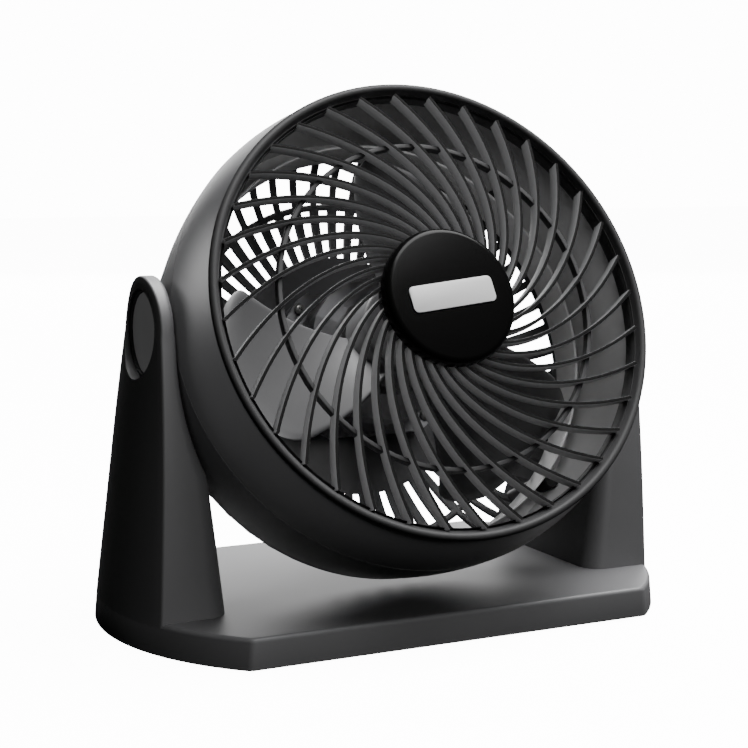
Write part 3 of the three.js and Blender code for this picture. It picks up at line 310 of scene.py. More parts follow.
def spun(name, profile, place, material, steps, closed=False):
    """A piece spun from (radius, height) points, each put where place says for its x, y and height."""
    points, faces, count = [], [], len(profile)
    for turn in np.linspace(0, 2 * math.pi, steps, endpoint=False):
        points += [place(radius * math.cos(turn), radius * math.sin(turn), height)
                   for radius, height in profile]
    for step in range(steps):
        for i in range(count if closed else count - 1):
            a, b, c = step * count + i, (step + 1) % steps * count + i, (i + 1) % count - i
            faces.append((a, b, b + c, a + c))
    return piece_of(name, points, faces, material)


def joined(name, pieces):
    """Several objects made one."""
    work = bmesh.new()
    materials = []
    for piece in pieces:
        shift = len(materials)
        materials += list(piece.data.materials)
        before = len(work.faces)
        work.from_mesh(piece.data)
        work.faces.ensure_lookup_table()
        for face in work.faces[before:]:
            face.material_index += shift
    whole = bpy.data.meshes.new(name)
    work.to_mesh(whole)
    work.free()
    for material in materials:
        whole.materials.append(material)
    for piece in pieces:
        bpy.data.objects.remove(piece)
    return placed(name, whole)


def settle(piece):
    """Applies a piece's modifiers."""
    graph = bpy.context.evaluated_depsgraph_get()
    mesh = bpy.data.meshes.new_from_object(piece.evaluated_get(graph))
    piece.modifiers.clear()
    piece.data = mesh
    return piece


def side_lean(z):
    return ARM_LEAN * z / PIVOT_HEIGHT


def stand_outline(z, inset):
    """The stand seen from above: straight front and rear edges, bowed sides and rounded corners."""
    corner = max(STAND_CORNER_RADIUS - inset, STAND_LEAST_CORNER)
    side = STAND_SIDE_RADIUS - inset
    side_x = STAND_WIDTH / 2 - STAND_SIDE_RADIUS - side_lean(z)
    across = STAND_DEPTH / 2 - inset - corner
    turn = math.asin(across / (side - corner))
    corner_x = side_x + (side - corner) * math.cos(turn)
    right = []
    for x, y, radius, angles in ((corner_x, -across, corner, np.linspace(-math.pi / 2, -turn, 10)),
                                 (side_x, 0, side, np.linspace(-turn, turn, 48)[1:-1]),
                                 (corner_x, across, corner, np.linspace(turn, math.pi / 2, 10))):
        right += [(x + radius * math.cos(angle), y + radius * math.sin(angle)) for angle in angles]
    left = [(-x, -y) for x, y in right]
    straight = np.linspace(-right[0][0], right[0][0], 30)[1:-1]
    rear = [(-x, STAND_DEPTH / 2 - inset) for x in straight]
    front = [(x, -STAND_DEPTH / 2 + inset) for x in straight]
    return [(x, y + STAND_SETBACK + tilt_axis.y, z) for x, y in right + rear + left + front]


def rounded_edge(outer_z, direction, radius, steps=5):
    """(height, inset) pairs round the edge between a wall and a flat face at outer_z."""
    pairs = []
    for angle in np.linspace(0, math.pi / 2, steps):
        pairs.append((outer_z - direction * radius * (1 - math.sin(angle)), radius * (1 - math.cos(angle))))
    return pairs


def slab():
    sections = [(STAND_TOP - STAND_WALL, STAND_WALL), (SKIRT_LIFT, STAND_WALL)]
    sections += rounded_edge(SKIRT_LIFT, -1, SKIRT_EDGE_RADIUS)[::-1]
    sections += rounded_edge(STAND_TOP, 1, STAND_EDGE_RADIUS, 7)
    return skinned("slab", [stand_outline(z, inset) for z, inset in sections], stand_plastic)


def arm_inner(z):
    below = max(PIVOT_HEIGHT - HEAD_DROP - z, 0)
    head = math.sqrt(BELLY_RADIUS ** 2 - below ** 2) + ARM_GAP if below < BELLY_RADIUS else 0
    return max(head, ARM_FOOT_SPAN + ARM_INNER_SLOPE * (z - STAND_TOP))


def arm_outer(y, z):
    share = min(max((z - STAND_TOP) / (PIVOT_HEIGHT - STAND_TOP), 0), 1)
    crown = STAND_SETBACK * (1 - share)
    bow = STAND_SIDE_RADIUS - math.sqrt(STAND_SIDE_RADIUS ** 2 - (y - crown) ** 2)
    return STAND_WIDTH / 2 - side_lean(z) - bow


def arm_strip(centre, direction, length, corner, edge):
    """Points from the middle of an arm's inner face, round its rim, to the middle of its outer face."""
    strip = []
    for share in np.linspace(0, 1, 7)[:-1]:
        strip.append(((length - corner) * share, "inner", 0))
    for angle in np.linspace(0, math.pi / 2, 9):
        strip.append((length - corner + corner * math.sin(angle), "inner", corner * (1 - math.cos(angle))))
    for angle in np.linspace(math.pi / 2, 0, 5):
        strip.append((length - edge + edge * math.sin(angle), "outer", edge * (1 - math.cos(angle))))
    for share in np.linspace(1, 0, 9)[1:]:
        strip.append(((length - edge) * share, "outer", 0))
    points = []
    for away, face, inset in strip:
        y, z = centre[0] + direction[0] * away, centre[1] + direction[1] * away
        x = arm_outer(y, z) - inset if face == "outer" else arm_inner(z) + inset
        points.append((x, y + tilt_axis.y, z))
    return points


def arm(side):
    """One arm: level strips up its front, a fan of strips round its top, and level strips down its back."""
    foot = STAND_TOP - STAND_EDGE_RADIUS
    heights = np.linspace(foot, PIVOT_HEIGHT, 34)
    strips = []
    for facing in (-1, 1):
        rising = []
        for z in heights:
            rise = z / PIVOT_HEIGHT
            front = -(ARM_FOOT_FRONT + (ARM_TOP_RADIUS - ARM_FOOT_FRONT) * rise ** 3)
            rear = ARM_FOOT_REAR + (ARM_TOP_RADIUS - ARM_FOOT_REAR) * rise
            middle = (front + rear) / 2
            length = (rear - front) / 2
            thickness = arm_outer(front if facing < 0 else rear, z) - arm_inner(z)
            corner = (ARM_FRONT_CORNER if facing < 0 else ARM_REAR_CORNER) * thickness
            rising.append(arm_strip((middle, z), (facing, 0), length, corner, ARM_EDGE_RADIUS))
        strips.append(rising)
    top_thickness = arm_outer(0, PIVOT_HEIGHT) - arm_inner(PIVOT_HEIGHT)
    fan = []
    for angle in np.linspace(0, math.pi, 40)[1:-1]:
        corner = (ARM_FRONT_CORNER + (ARM_REAR_CORNER - ARM_FRONT_CORNER) * angle / math.pi) * top_thickness
        direction = (-math.cos(angle), math.sin(angle))
        fan.append(arm_strip((0, PIVOT_HEIGHT), direction, ARM_TOP_RADIUS, corner, ARM_EDGE_RADIUS))
    rows = strips[0] + fan + strips[1][::-1]
    count = len(rows[0])
    points = [(side * x, y, z) for row in rows for x, y, z in row]
    faces = grid_faces(len(rows), count, closed=False)
    last = (len(rows) - 1) * count
    faces.append(tuple(range(count)) + tuple(range(last + count - 1, last - 1, -1)))
    return piece_of("arm", points, faces, stand_plastic)


def turned_about_tilt(name, side, profile, material, steps=96):
    """A piece turned about the tilt axis, on one side, from [distance from the fan's middle, radius] points."""
    return spun(name, [(radius, side * x) for x, radius in profile],
                lambda across, up, x: (x, pivot.y + across, pivot.z + up), material, steps)


def recess_cutter(side):
    """The recess for the cap, the trunnion's hole and the washer's pocket, as one turned solid."""
    inside, past = BELLY_RADIUS - RECESS_RADIUS, STAND_WIDTH
    step_x, step_radius = RECESS_FLOOR + RECESS_STEP_DEPTH, RECESS_RADIUS - RECESS_STEP
    profile = [(inside, 0), (inside, POCKET_RADIUS), (POCKET_FLOOR, POCKET_RADIUS),
               (POCKET_FLOOR, TRUNNION_HOLE), (RECESS_FLOOR, TRUNNION_HOLE), (RECESS_FLOOR, step_radius),
               (step_x, step_radius), (step_x + RECESS_CHAMFER, RECESS_RADIUS), (past, RECESS_RADIUS),
               (past, 0)]
    return turned_about_tilt("cutter", side, profile, stand_plastic)


def carve(piece, tool, operation="DIFFERENCE"):
    """Cuts a tool's solid out of a piece, or joins or crosses the two."""
    cutting = piece.modifiers.new("cut", "BOOLEAN")
    cutting.operation = operation
    cutting.solver = "EXACT"
    cutting.object = tool
    settle(piece)
    bpy.data.objects.remove(tool)
    return shade(piece)


stand_plastic = moulded("stand_satin_black", SATIN_BLACK, 0.5, specular=0.35)
stand = joined("stand", [slab(), carve(arm(-1), recess_cutter(-1)), carve(arm(1), recess_cutter(1))])
light_with(stand_boxes, stand)
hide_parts("stand_shell")
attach(stand, "stand")

# The head's outer body is two mouldings that meet at a seam behind the widest place. This is the front one,
# a satin black ring: its lip carries the grille, and behind the seam a sleeve runs on inside the rear shell.
RIM_AHEAD = 0.0543  # plane of the rim ahead of the tilt axis; depths count backwards from that plane
FRONT_BELLY = 0.042  # depth of the widest place, as the front ring's bow has it
FRONT_BOW = 0.116
REAR_BELLY = 0.032
REAR_BOW = 0.264
SHELL_WALL = 0.0022
LIP_DEPTH = 0.0022
LIP_WIDTH = 0.00416
SEAM_DEPTH = 0.037
SEAM_GAP = 0.00005
SLEEVE_INSET = 0.0026
INNER_INSET = 0.004
SLEEVE_END = 0.0697
BOSS_RADIUS = 0.004
BOSS_PLACE = 0.1074
BOSS_LENGTH = 0.012
SEAT_GAP = 0.0004  # between the lip and the grille's skirt
LIP_ROUNDING = 0.0007
SHELL_BLACK = (0.06, 0.06, 0.062, 1)
INNER_PAINTED_LIGHT = (0.32, 0.32, 0.323, 1)
BOSS_PAINTED_SHADE = (0.008, 0.008, 0.008, 1)
INNER_FACING = -0.5  # the ring's inner faces point to the axis by more than this, and get the painted light grey
ROUND_STEPS = 160
ROUNDING_STEPS = 4
QUARTERS = [math.radians(turn) for turn in (45, 135, 225, 315)]
spin = next(joint for joint in frame["joints"] if joint["name"] == "fan_spin")
forward = Vector(spin["axis"]).normalized()
head_turn = Matrix((Vector((1, 0, 0)), forward.cross(Vector((1, 0, 0))), forward)).transposed()
head_place = Matrix.Translation(Vector(spin["pos_m"])) @ head_turn.to_4x4()


def shell_radius(depth):
    belly, bow = (FRONT_BELLY, FRONT_BOW) if depth < SEAM_DEPTH else (REAR_BELLY, REAR_BOW)
    return BELLY_RADIUS - bow + math.sqrt(bow ** 2 - (depth - belly) ** 2)


SKIRT_RADIUS = shell_radius(LIP_DEPTH) - LIP_WIDTH


def softened(corners):
    """A closed outline of [radius, depth, rounding] corners, with each corner rounded by its third number."""
    outline, count = [], len(corners)
    for i, corner in enumerate(corners):
        here = Vector(corner[:2])
        rounding = corner[2] if len(corner) > 2 else 0
        before = Vector(corners[i - 1][:2]) - here
        after = Vector(corners[(i + 1) % count][:2]) - here
        if not rounding:
            outline.append(tuple(here))
            continue
        half = before.angle(after) / 2
        reach = min(rounding / math.tan(half), before.length / 2, after.length / 2)
        start, end = here + before.normalized() * reach, here + after.normalized() * reach
        for share in np.linspace(0, 1, ROUNDING_STEPS + 1):
            outline.append(tuple(start.lerp(here, share).lerp(here.lerp(end, share), share)))
    return outline


def at_depth(x, y, depth):
    """A point of the fan, from its place across the head and its depth behind the rim's plane."""
    return head_place @ Vector((x, y, RIM_AHEAD - depth))


def turned(name, profile, material, steps=ROUND_STEPS, place=(0, 0)):
    """A closed piece turned about the head's axis, or about a line beside it, from [radius, depth] points."""
    return spun(name, profile, lambda x, y, depth: at_depth(place[0] + x, place[1] + y, depth), material, steps,
                closed=True)


def round_axis(reach, turns):
    return [(reach * math.cos(turn), reach * math.sin(turn)) for turn in turns]


def wall(start, end, steps, inset, last_inset=None):
    """[radius, depth] points down the head's side, held in from its outer face."""
    depths = np.linspace(start, end, steps)
    insets = np.linspace(inset, inset if last_inset is None else last_inset, steps)
    return [(shell_radius(depth) - inward, depth) for depth, inward in zip(depths, insets)]


def rod(radius, front, rear, place, material, edge=0.0003, steps=40):
    """A round bar along the head's axis, with softened ends."""
    outline = softened([(0, front), (radius, front, edge), (radius, rear, edge), (0, rear)])
    return turned("rod", outline, material, steps, place)


shell_plastic = moulded("shell_satin_black", SHELL_BLACK, 0.4)
just_ahead = SEAM_DEPTH - 1e-5  # still on the front ring's own bow
front_corners = [(SKIRT_RADIUS + SEAT_GAP, LIP_DEPTH, 0.0004),
                 (shell_radius(LIP_DEPTH), LIP_DEPTH, LIP_ROUNDING)]
front_corners += wall(LIP_DEPTH + 0.001, just_ahead, 26, 0)
front_corners += wall(SEAM_DEPTH, SLEEVE_END, 16, SLEEVE_INSET)
front_corners += wall(SLEEVE_END, SEAM_DEPTH, 16, INNER_INSET)
front_corners += wall(SEAM_DEPTH - 1e-4, LIP_DEPTH + SHELL_WALL, 20, INNER_INSET, SHELL_WALL)
front_corners += [(SKIRT_RADIUS + SEAT_GAP, LIP_DEPTH + SHELL_WALL)]
boss_places = round_axis(BOSS_PLACE, QUARTERS)
# Painted shade: the bosses, moulded with the ring, get a near black far darker than the ring, standing in for
# the shade inside the head.
boss_painted_shade = moulded("boss_matt_black", BOSS_PAINTED_SHADE, 0.7, specular=0.15)
bosses = [rod(BOSS_RADIUS, SLEEVE_END - BOSS_LENGTH, SLEEVE_END, place, boss_painted_shade) for place in boss_places]
ring = turned("ring", softened(front_corners), shell_plastic)
# Painted light: the faces turned towards the axis get a light grey, standing in for the light that falls on the
# inside of the black ring.
ring.data.materials.append(moulded("shell_inner_face", INNER_PAINTED_LIGHT, 0.42))
for face in ring.data.polygons:
    spot = head_place.inverted() @ face.center
    outward = head_turn.transposed() @ face.normal
    away = (outward.x * spot.x + outward.y * spot.y) / math.hypot(spot.x, spot.y)
    face.material_index = int(away < INNER_FACING)
front_ring = joined("front_ring", [ring] + bosses)
light_with(head_boxes, front_ring)
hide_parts("front_shell")
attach(front_ring, "head")

# The swirl grille is one black moulding: a beaded rim with a skirt that sits in the front ring's lip, thin
# vanes on a log spiral that bow forward towards the hub, a middle ring behind them, and the hub's cup.
BEAD_RADIUS = 0.00205
RIM_RADIUS = shell_radius(LIP_DEPTH) - 0.00096
SKIRT_WALL = 0.0015
SKIRT_DEPTH = 0.008
VANES = 36
VANE_THICKNESS = 0.0017
VANE_WIDTH = 0.007
VANE_SPIRAL = 0.79
VANE_HUB_RISE = 0.007
VANE_RIM_RISE = 0.0008
VANE_ROUNDING = 0.0005
VANE_STEPS = 34
HUB_RADIUS = 0.0305
HUB_WALL = 0.0021
HUB_RISE = 0.009
MID_RING_RADIUS = 0.079
MID_RING_WALL = 0.0022
MID_RING_WIDTH = 0.0042
MID_RING_ROUNDING = 0.0005
RIM_SEAT = LIP_DEPTH - 0.0003
HUB_BEHIND_VANES = 0.0006
PAINTED_SHADE_FACING = 0.9  # a vane's front edge faces forward by more than this, and gets the painted shade
GRILLE_BLACK = (0.05, 0.05, 0.051, 1)
VANE_PAINTED_LIGHT = (0.15, 0.15, 0.153, 1)
EDGE_PAINTED_SHADE = (0.006, 0.006, 0.006, 1)


def copies_round_axis():
    """Geometry nodes: the piece's own mesh, repeated round the local Z axis."""
    tree = bpy.data.node_groups.new("copies_round_axis", "GeometryNodeTree")
    new_socket(tree, "Geometry", "Geometry")
    new_socket(tree, "Count", "Int", 3)
    new_socket(tree, "First Turn", "Float", 0.0)
    new_socket(tree, "Weld", "Float", 0.0)
    new_socket(tree, "Material", "Material")
    new_socket(tree, "Geometry", "Geometry", direction="OUTPUT")
    given = tree.nodes.new("NodeGroupInput").outputs
    spots = add_node(tree, "GeometryNodePoints", {"Count": given["Count"]})
    index = tree.nodes.new("GeometryNodeInputIndex")
    share = math_node(tree, "DIVIDE", index.outputs[0], given["Count"])
    turn = math_node(tree, "MULTIPLY_ADD", share, 2 * math.pi, given["First Turn"])
    turns = add_node(tree, "ShaderNodeCombineXYZ", {"Z": turn})
    copies = add_node(tree, "GeometryNodeInstanceOnPoints",
                      {"Points": spots.outputs[0], "Instance": given["Geometry"], "Rotation": turns.outputs[0]})
    real = add_node(tree, "GeometryNodeRealizeInstances", {0: copies.outputs[0]})
    weld = add_node(tree, "GeometryNodeMergeByDistance", {0: real.outputs[0], "Distance": given["Weld"]})
    dress = add_node(tree, "GeometryNodeSetMaterial", {0: weld.outputs[0], "Material": given["Material"]})
    add_node(tree, "NodeGroupOutput", {0: dress.outputs[0]})
    return tree


def swirl_vane():
    """Geometry nodes: one vane, a rounded strip swept along a log spiral from the hub to the rim."""
    tree = bpy.data.node_groups.new("swirl_vane", "GeometryNodeTree")
    sizes = {"Hub Radius": HUB_RADIUS, "Rim Radius": SKIRT_RADIUS, "Start": HUB_RADIUS - HUB_WALL / 2,
             "End": SKIRT_RADIUS - SKIRT_WALL / 2, "Spiral": VANE_SPIRAL, "Thickness": VANE_THICKNESS,
             "Width": VANE_WIDTH, "Hub Rise": VANE_HUB_RISE, "Rim Rise": VANE_RIM_RISE, "Rim Plane": RIM_AHEAD,
             "Rounding": VANE_ROUNDING}
    for name, size in sizes.items():
        new_socket(tree, name, "Float", size)
    new_socket(tree, "Material", "Material")
    new_socket(tree, "Geometry", "Geometry", direction="OUTPUT")
    given = tree.nodes.new("NodeGroupInput").outputs
    start, end = [add_node(tree, "ShaderNodeCombineXYZ", {"X": given[name]}) for name in ("Start", "End")]
    line = add_node(tree, "GeometryNodeCurvePrimitiveLine", {"Start": start.outputs[0], "End": end.outputs[0]})
    fine = add_node(tree, "GeometryNodeResampleCurve", {"Curve": line.outputs[0], "Count": VANE_STEPS})
    where = tree.nodes.new("GeometryNodeInputPosition")
    radius = add_node(tree, "ShaderNodeSeparateXYZ", {0: where.outputs[0]}).outputs["X"]
    growth = math_node(tree, "LOGARITHM", math_node(tree, "DIVIDE", radius, given["Hub Radius"]), math.e)
    angle = math_node(tree, "MULTIPLY", growth, given["Spiral"])
    x = math_node(tree, "MULTIPLY", radius, math_node(tree, "COSINE", angle))
    y = math_node(tree, "MULTIPLY", radius, math_node(tree, "SINE", angle))
    beyond = math_node(tree, "SUBTRACT", radius, given["Hub Radius"])
    reach = math_node(tree, "SUBTRACT", given["Rim Radius"], given["Hub Radius"])
    share = math_node(tree, "MAXIMUM", math_node(tree, "DIVIDE", beyond, reach), 0.0)
    fall = math_node(tree, "SUBTRACT", given["Rim Rise"], given["Hub Rise"])
    rise = math_node(tree, "MULTIPLY_ADD", math_node(tree, "POWER", share, 2.0), fall, given["Hub Rise"])
    middle = math_node(tree, "MULTIPLY_ADD", given["Width"], -0.5, rise)
    height = math_node(tree, "ADD", middle, given["Rim Plane"])
    spot = add_node(tree, "ShaderNodeCombineXYZ", {"X": x, "Y": y, "Z": height})
    bend = add_node(tree, "GeometryNodeSetPosition", {"Geometry": fine.outputs[0], "Position": spot.outputs[0]})
    upright = add_node(tree, "GeometryNodeSetCurveNormal", {"Curve": bend.outputs[0]}, mode="Z_UP")
    strip = add_node(tree, "GeometryNodeCurvePrimitiveQuadrilateral",
                     {"Height": given["Width"], "Width": given["Thickness"]})
    soft = add_node(tree, "GeometryNodeFilletCurve",
                    {"Curve": strip.outputs[0], "Count": 2, "Radius": given["Rounding"]}, mode="POLY")
    sweep = add_node(tree, "GeometryNodeCurveToMesh",
                     {"Curve": upright.outputs[0], "Profile Curve": soft.outputs[0], "Fill Caps": True})
    real = add_node(tree, "GeometryNodeRealizeInstances", {0: sweep.outputs[0]})
    dress = add_node(tree, "GeometryNodeSetMaterial", {0: real.outputs[0], "Material": given["Material"]})
    add_node(tree, "NodeGroupOutput", {0: dress.outputs[0]})
    return tree


def grown(name, tree, **values):
    """An object whose mesh a tree makes from nothing, applied."""
    return repeated(placed(name, bpy.data.meshes.new(name)), tree, **values)


def repeated(piece, tree, **values):
    """Puts a piece's mesh through a tree with these named inputs, and applies it."""
    modifier = piece.modifiers.new(tree.name, "NODES")
    modifier.node_group = tree
    for socket in tree.interface.items_tree:
        key = socket.name.replace(" ", "_").lower()
        if socket.in_out == "INPUT" and key in values:
            modifier[socket.identifier] = values[key]
    return settle(piece)


def in_head(piece):
    """Moves a mesh made in the head's own directions to its place in the fan."""
    piece.data.transform(head_place)
    return piece


around = copies_round_axis()
grille_plastic = moulded("grille_satin_black", GRILLE_BLACK, 0.55, specular=0.25)
# Painted light: the vanes get a lighter grey than the rest of the grille, though they are the same black
# moulding, for the light on their sides.
vane_painted_light = moulded("vane_satin_black", VANE_PAINTED_LIGHT, 0.4)
vanes = grown("vanes", swirl_vane(), material=vane_painted_light)
vanes = repeated(vanes, around, count=VANES, first_turn=math.pi / VANES, material=vane_painted_light)
in_head(shade(vanes))
# Painted shade: the faces of the vanes that face forward get a near black, darker than their sides.
vanes.data.materials.append(moulded("vane_edge_black", EDGE_PAINTED_SHADE, 0.6, specular=0.04))
for face in vanes.data.polygons:
    if face.normal.dot(forward) > PAINTED_SHADE_FACING:
        face.material_index = len(vanes.data.materials) - 1

bead_depth = RIM_SEAT - BEAD_RADIUS * math.sqrt(0.5)
rim_outline = [(SKIRT_RADIUS, RIM_SEAT)]
for angle in np.linspace(-math.pi / 4, math.pi, 18)[:-1]:
    rim_outline.append((RIM_RADIUS + BEAD_RADIUS * math.cos(angle), bead_depth - BEAD_RADIUS * math.sin(angle)))
skirt_inner = SKIRT_RADIUS - SKIRT_WALL
rim_outline += softened([(skirt_inner, 0, 0.001), (skirt_inner, SKIRT_DEPTH, 0.0004),
                         (SKIRT_RADIUS, SKIRT_DEPTH, 0.0004)])
rim = turned("rim", rim_outline, grille_plastic)
hub_rear = VANE_WIDTH - VANE_HUB_RISE + HUB_BEHIND_VANES
hub_inner = HUB_RADIUS - HUB_WALL
hub_cup = turned("hub_cup", softened([
    (0, -HUB_RISE), (HUB_RADIUS, -HUB_RISE, 0.0006), (HUB_RADIUS, hub_rear, 0.0004),
    (hub_inner, hub_rear, 0.0004), (hub_inner, HUB_WALL - HUB_RISE), (0, HUB_WALL - HUB_RISE)]), grille_plastic)
ring_share = (MID_RING_RADIUS - HUB_RADIUS) / (SKIRT_RADIUS - HUB_RADIUS)
ring_rise = VANE_HUB_RISE + (VANE_RIM_RISE - VANE_HUB_RISE) * ring_share ** 2
ring_rear = VANE_WIDTH - ring_rise
ring_front = ring_rear - MID_RING_WIDTH
ring_inner, ring_outer = MID_RING_RADIUS - MID_RING_WALL / 2, MID_RING_RADIUS + MID_RING_WALL / 2
mid_ring = turned("mid_ring", softened([(radius, depth, MID_RING_ROUNDING) for radius, depth in (
    (ring_inner, ring_rear), (ring_outer, ring_rear), (ring_outer, ring_front), (ring_inner, ring_front))]),
    grille_plastic)
grille = joined("grille", [rim, hub_cup, mid_ring])
vanes.name = "grille_vanes"
light_with(head_boxes + vane_boxes, vanes)
for piece in (grille, vanes):
    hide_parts("front_grille")
    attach(piece, "head")

# The hub's disc is a gloss black moulding with a rounded shoulder, pressed over the grille's hub cup. A plain
# pale plate with rounded corners is let into a pocket in its face, a few degrees off level.
DISC_RADIUS = HUB_RADIUS + 0.0024
DISC_FACE = 0.0052
DISC_BEVEL = 0.003
DISC_LIP = 0.0016
DISC_GAP = 0.0003
BADGE_LENGTH = 0.0436
BADGE_HEIGHT = 0.0126
BADGE_CORNER = 0.0026
BADGE_THICKNESS = 0.001
BADGE_POCKET = 0.0006
BADGE_TURN = math.radians(6)
BADGE_GAP = 0.0003
BADGE_ROUNDING = 0.0003
CUT_PAST = 0.002  # how far a cutter runs on past the face that it cuts
GLOSS_BLACK = (0.003, 0.003, 0.003, 1)
BADGE_PALE = (0.72, 0.72, 0.72, 1)
disc_rear = -HUB_RISE - DISC_GAP
disc_front = disc_rear - DISC_FACE


def rounded_plate(name, length, height, corner, low, high, edge, turn, material):
    """A rounded rectangle square to the head's axis, between two depths, with a softened front edge."""
    loops = []
    for depth, inset in ((low, 0), (high + edge, 0), (high + edge * 0.3, edge * 0.3), (high, edge)):
        loop = []
        for quarter, (sx, sy) in enumerate(((1, -1), (1, 1), (-1, 1), (-1, -1))):
            for angle in np.linspace((quarter - 1) * math.pi / 2, quarter * math.pi / 2, 7):
                x = sx * (length / 2 - corner) + (corner - inset) * math.cos(angle)
                y = sy * (height / 2 - corner) + (corner - inset) * math.sin(angle)
                x, y = x * math.cos(turn) - y * math.sin(turn), x * math.sin(turn) + y * math.cos(turn)
                loop.append(at_depth(x, y, depth))
        loops.append(loop)
    return skinned(name, loops, material)


gloss_plastic = moulded("hub_gloss_black", GLOSS_BLACK, 0.22, relief=0.000004, change=0.03, specular=0.12)
disc_outline = [(0, disc_front)]
for angle in np.linspace(0, math.pi / 2, 9):
    disc_outline.append((DISC_RADIUS - DISC_BEVEL + DISC_BEVEL * math.sin(angle),
                         disc_front + DISC_BEVEL * (1 - math.cos(angle))))
disc_outline += [(DISC_RADIUS, disc_rear + DISC_LIP, 0.0004),
                 (HUB_RADIUS + DISC_GAP, disc_rear + DISC_LIP, 0.0002),
                 (HUB_RADIUS + DISC_GAP, disc_rear), (0, disc_rear)]
disc = turned("hub_disc", softened(disc_outline), gloss_plastic)
pocket = rounded_plate("pocket", BADGE_LENGTH + 2 * BADGE_GAP, BADGE_HEIGHT + 2 * BADGE_GAP,
                       BADGE_CORNER + BADGE_GAP, disc_front + BADGE_POCKET, disc_front - CUT_PAST, 0.0001,
                       BADGE_TURN, gloss_plastic)
carve(disc, pocket)
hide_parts("hub_cap")
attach(disc, "head")
badge_plastic = moulded("badge_pale_grey", BADGE_PALE, 0.42, relief=0.000006)
badge_rear = disc_front + BADGE_POCKET - BADGE_GAP
badge = rounded_plate("hub_badge", BADGE_LENGTH, BADGE_HEIGHT, BADGE_CORNER, badge_rear,
                      badge_rear - BADGE_THICKNESS, BADGE_ROUNDING, BADGE_TURN, badge_plastic)
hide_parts("badge_plate")
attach(badge, "head")

# Each arm's recess is closed by a smooth black cap, a moulding whose stem plugs into the hollow trunnion. A
# pale nylon friction washer sits between the shell's flat pad and the arm, and holds the head where it is set.
CAP_GAP = 0.0004
CAP_REACH = RECESS_RADIUS - RECESS_STEP - CAP_GAP
CAP_INNER = RECESS_FLOOR + 0.0003  # clear of the trunnion's end
CAP_THICKNESS = 0.0018
CAP_ROUNDING = 0.0005
CAP_DISH = 0.0002
STEM_RADIUS = 0.0042
STEM_LENGTH = 0.006
WASHER_INNER = 0.1184
WASHER_THICKNESS = 0.0012
WASHER_RADIUS = 0.012
WASHER_ROUNDING = 0.00025
CAP_BLACK = (0.12, 0.12, 0.122, 1)
NYLON_PALE = (0.62, 0.6, 0.55, 1)
nylon = moulded("nylon", NYLON_PALE, 0.45, relief=0.00001)
cap_plastic = moulded("cap_satin_black", CAP_BLACK, 0.46)
for side, word in ((-1, "left"), (1, "right")):
    face, stem_end = CAP_INNER + CAP_THICKNESS, CAP_INNER - STEM_LENGTH
    outline = [(stem_end, 0), (stem_end, STEM_RADIUS - CAP_ROUNDING), (stem_end + CAP_ROUNDING, STEM_RADIUS),
               (CAP_INNER, STEM_RADIUS), (CAP_INNER, CAP_REACH)]
    for angle in np.linspace(0, math.pi / 2, 5):
        outline.append((face - CAP_ROUNDING * (1 - math.sin(angle)),
                        CAP_REACH - CAP_ROUNDING * (1 - math.cos(angle))))
    outline += [(face - CAP_DISH * 0.6, CAP_REACH * 0.5), (face - CAP_DISH, 0)]
    cap = turned_about_tilt("pivot_cap_" + word + "_look", side, outline, cap_plastic)
    light_with(cap_boxes, cap)
    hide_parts("pivot_cap_" + word)
    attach(cap, "head")
    near, far, shoulder = WASHER_INNER, WASHER_INNER + WASHER_THICKNESS, WASHER_RADIUS - WASHER_ROUNDING
    outline = [(near, TRUNNION_HOLE), (near, shoulder), (near + WASHER_ROUNDING, WASHER_RADIUS),
               (far - WASHER_ROUNDING, WASHER_RADIUS), (far, shoulder), (far, TRUNNION_HOLE),
               (near, TRUNNION_HOLE)]
    washer = turned_about_tilt("washer_" + word, side, outline, nylon)
    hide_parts("friction_washer_" + word)
    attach(washer, "stand")

# The rear shell is one black moulding: a wall that runs on from the seam, a dome that turns into a flat back,
# and two rows of 54 radial slots in the dome. Bosses inside take the screws, and a hollow trunnion stands on
# each side.
DOME_START = 0.084
DOME_END = 0.112
DOME_FLAT = 0.06
CENTRE_HOLE = 0.03
SLOTS = 54
SLOT_SHARE = 0.49
SLOT_INNER = DOME_FLAT + 0.004
SLOT_OUTER = BELLY_RADIUS - 0.0279
OUTER_ROW_OUTER = 0.1119
OUTER_ROW_INNER = 0.0926
OUTER_ROW_SHARE = 0.7
SLOT_ROUNDING = 0.0004
SLOT_EDGE_TURN = 50  # degrees; edges that turn more than this are rounded
FLAT_RINGS = (0.052, 0.044, 0.037)
WALL_STEPS = 15
DOME_STEPS = (3, 11, 2, 8, 2)  # rows of faces down to each row of slots, along it, and on past the last one
WELL_RADIUS = 0.0034
WELL_FLOOR = 0.078
POST_RADIUS = 0.0044
POST_FRONT = 0.0719
ENVELOPE_FRONT = 0.06  # where the solid that trims the posts starts
INNER_POST_RADIUS = 0.004
POST_INSET = 0.0006  # posts end this far inside the dome's outer face
MOTOR_POST_PLACE = 0.042
MOTOR_POST_FRONT = 0.0936
COVER_SCREW_PLACE = 0.0395
COVER_POST_FRONT = 0.104
PAD_RADIUS = 0.008
PAD_FACE = 0.1181
TRUNNION_RADIUS = 0.0065
TRUNNION_BORE = 0.0046
PAD_CHAMFER = 0.0003
TRUNNION_CHAMFER = 0.0004
REAR_BLACK = (0.042, 0.042, 0.044, 1)


def dome_point(turn, inset=0.0):
    across = shell_radius(DOME_START) - DOME_FLAT - inset
    return (DOME_FLAT + across * math.cos(turn), DOME_START + (DOME_END - DOME_START - inset) * math.sin(turn))


